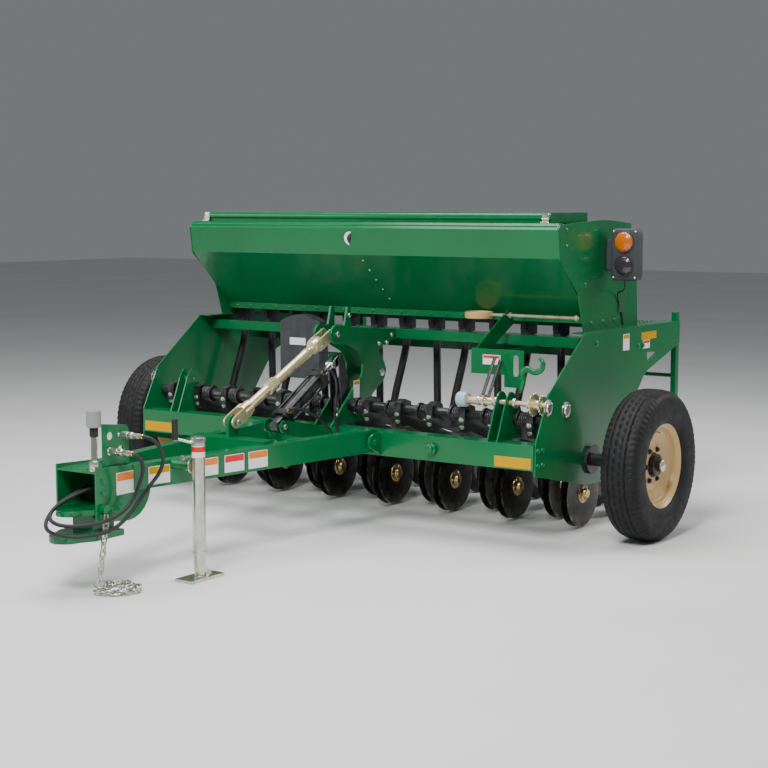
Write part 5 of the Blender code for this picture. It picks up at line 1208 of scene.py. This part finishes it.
class DRILL_OT_labels(bpy.types.Operator):
    """Blank labels, white with a coloured head: on tongue, mast, bracket, cover and end plates."""

    bl_idname = "drill.labels"
    bl_label = "Labels"

    def execute(self, context):
        rail = np.array([0.345 - 0.127, -0.64 + 2.1, 0])
        rail = rail / np.linalg.norm(rail)
        out = np.array([rail[1], -rail[0], 0])

        def on_rail(y, z, lift):
            """A place on the right rail's outer face, lifted off it."""
            return np.array([0.127 + (0.345 - 0.127) * (y + 2.1) / 1.46, y, z]) + out * lift

        def label(into, head, place, normal, across, width, height, top):
            """A white plate with round corners and, where asked for, a coloured head near its top edge."""
            into["white_label"].append(slab(rounded(width, height, 0.003), place, 0.0008, normal, across,
                                            0.0002))
            up = axes(normal, across)[1]
            lift = np.asarray(normal, float) / np.linalg.norm(normal) * 0.0006
            if head:
                place = place + up * (height / 2 - top / 2 - 0.003) + lift
                into[head].append(slab(rounded(width - 0.006, top, 0.002), place, 0.0006, normal, across,
                                       0.0001))

        names = ("white_label", "yellow_label", "orange_label", "red_label")
        on_tongue = {name: [] for name in names}
        on_frame = {name: [] for name in names}
        heads = ((-1.965, 0.12, "yellow"), (-1.69, 0.126, "orange"), (-1.53, 0.12, "red"),
                 (-1.385, 0.12, "orange"))
        for y, width, head in heads:
            label(on_tongue, f"{head}_label", on_rail(y, 0.46, 0.0007), out, rail, width, 0.08, 0.03)
        label(on_tongue, "orange_label", np.array([0.1208, -2.145, 0.448]), RIGHT, (0, 1, 0), 0.12,
              0.096, 0.034)
        label(on_frame, "yellow_label", np.array([0.0588, -0.348, 0.68]), RIGHT, (0, 1, 0), 0.052, 0.09,
              0.018)
        label(on_frame, "red_label", np.array([0.848, -0.3067, 0.872]), FRONT, RIGHT, 0.1, 0.048, 0.014)
        label(on_frame, None, np.array([-0.55, -0.0556, 0.88]), FRONT, RIGHT, 0.11, 0.04, 0.01)
        for _, sign in SIDES:
            face = sign * 1.2454
            label(on_frame, "yellow_label", np.array([face, 0.38, 0.93]), (sign, 0, 0), (0, 1, 0), 0.072,
                  0.084, 0.02)
            label(on_frame, "red_label", np.array([face, 0.62, 0.904]), (sign, 0, 0), (0, 1, 0), 0.08,
                  0.044, 0.014)
        for body, groups in (("tongue", on_tongue), ("frame", on_frame)):
            for name, shells in groups.items():
                if shells:
                    piece(f"{body}_{name}", shells, name, body)
        return {"FINISHED"}


class DRILL_OT_stage(bpy.types.Operator):
    """A plain pale floor and soft studio lights."""

    bl_idname = "drill.stage"
    bl_label = "Stage"

    def execute(self, context):
        span = np.linspace(-30, 30, 3)
        gx, gy = np.meshgrid(span, span, indexing="ij")
        points = np.stack([gx, gy, 0 * gx - 0.0004], -1).reshape(-1, 3)
        floor = piece("floor", (points, grid(3, 3, closed=False)), "floor", None)
        for name, place, size, power in LIGHTS:
            data = bpy.data.lights.new(name, "AREA")
            data.size = size
            data.energy = power
            made = bpy.data.objects.new(name, data)
            made.location = place
            aim = Vector((0.0, 0.0, 0.7)) - Vector(place)
            made.rotation_euler = aim.to_track_quat("-Z", "Y").to_euler()
            context.scene.collection.objects.link(made)
        world = bpy.data.worlds.new("studio")
        world.use_nodes = True
        back = world.node_tree.nodes["Background"]
        back.inputs["Color"].default_value = WORLD_COLOUR
        back.inputs["Strength"].default_value = WORLD_STRENGTH
        context.scene.world = world
        return {"FINISHED"}


STEPS = (
    DRILL_OT_camera, DRILL_OT_hitch_hoses, DRILL_OT_port_hoses, DRILL_OT_frame_finishes, DRILL_OT_tyres,
    DRILL_OT_rims,
    DRILL_OT_discs, DRILL_OT_press_wheels, DRILL_OT_springs, DRILL_OT_seed_hoses, DRILL_OT_cylinder,
    DRILL_OT_top_link,
    DRILL_OT_jack, DRILL_OT_hitch_trim, DRILL_OT_lamps, DRILL_OT_hopper_trim, DRILL_OT_walkboard_grip,
    DRILL_OT_frame_trim,
    DRILL_OT_drive_trim, DRILL_OT_labels, DRILL_OT_stage,
)


class DRILL_PT_panel(bpy.types.Panel):
    """The sidebar panel: the sizes, then a button for each step."""

    bl_idname = "DRILL_PT_panel"
    bl_label = "Seed Drill"
    bl_space_type = "VIEW_3D"
    bl_region_type = "UI"
    bl_category = "Seed Drill"

    def draw(self, context):
        for name, group in SIZE_GROUPS.items():
            box = self.layout.box()
            for key in group.__annotations__:
                box.prop(getattr(context.scene, name), key)
        for step in STEPS:
            self.layout.operator(step.bl_idname)


def register():
    for name, group in SIZE_GROUPS.items():
        bpy.utils.register_class(group)
        setattr(bpy.types.Scene, name, bpy.props.PointerProperty(type=group))
    for step in (*STEPS, DRILL_PT_panel):
        bpy.utils.register_class(step)


def unregister():
    for step in reversed((*STEPS, DRILL_PT_panel)):
        bpy.utils.unregister_class(step)
    for name, group in SIZE_GROUPS.items():
        delattr(bpy.types.Scene, name)
        bpy.utils.unregister_class(group)


def main():
    register()
    for step in STEPS:
        family, name = step.bl_idname.split(".")
        getattr(getattr(bpy.ops, family), name)()


if __name__ == "__main__":
    main()
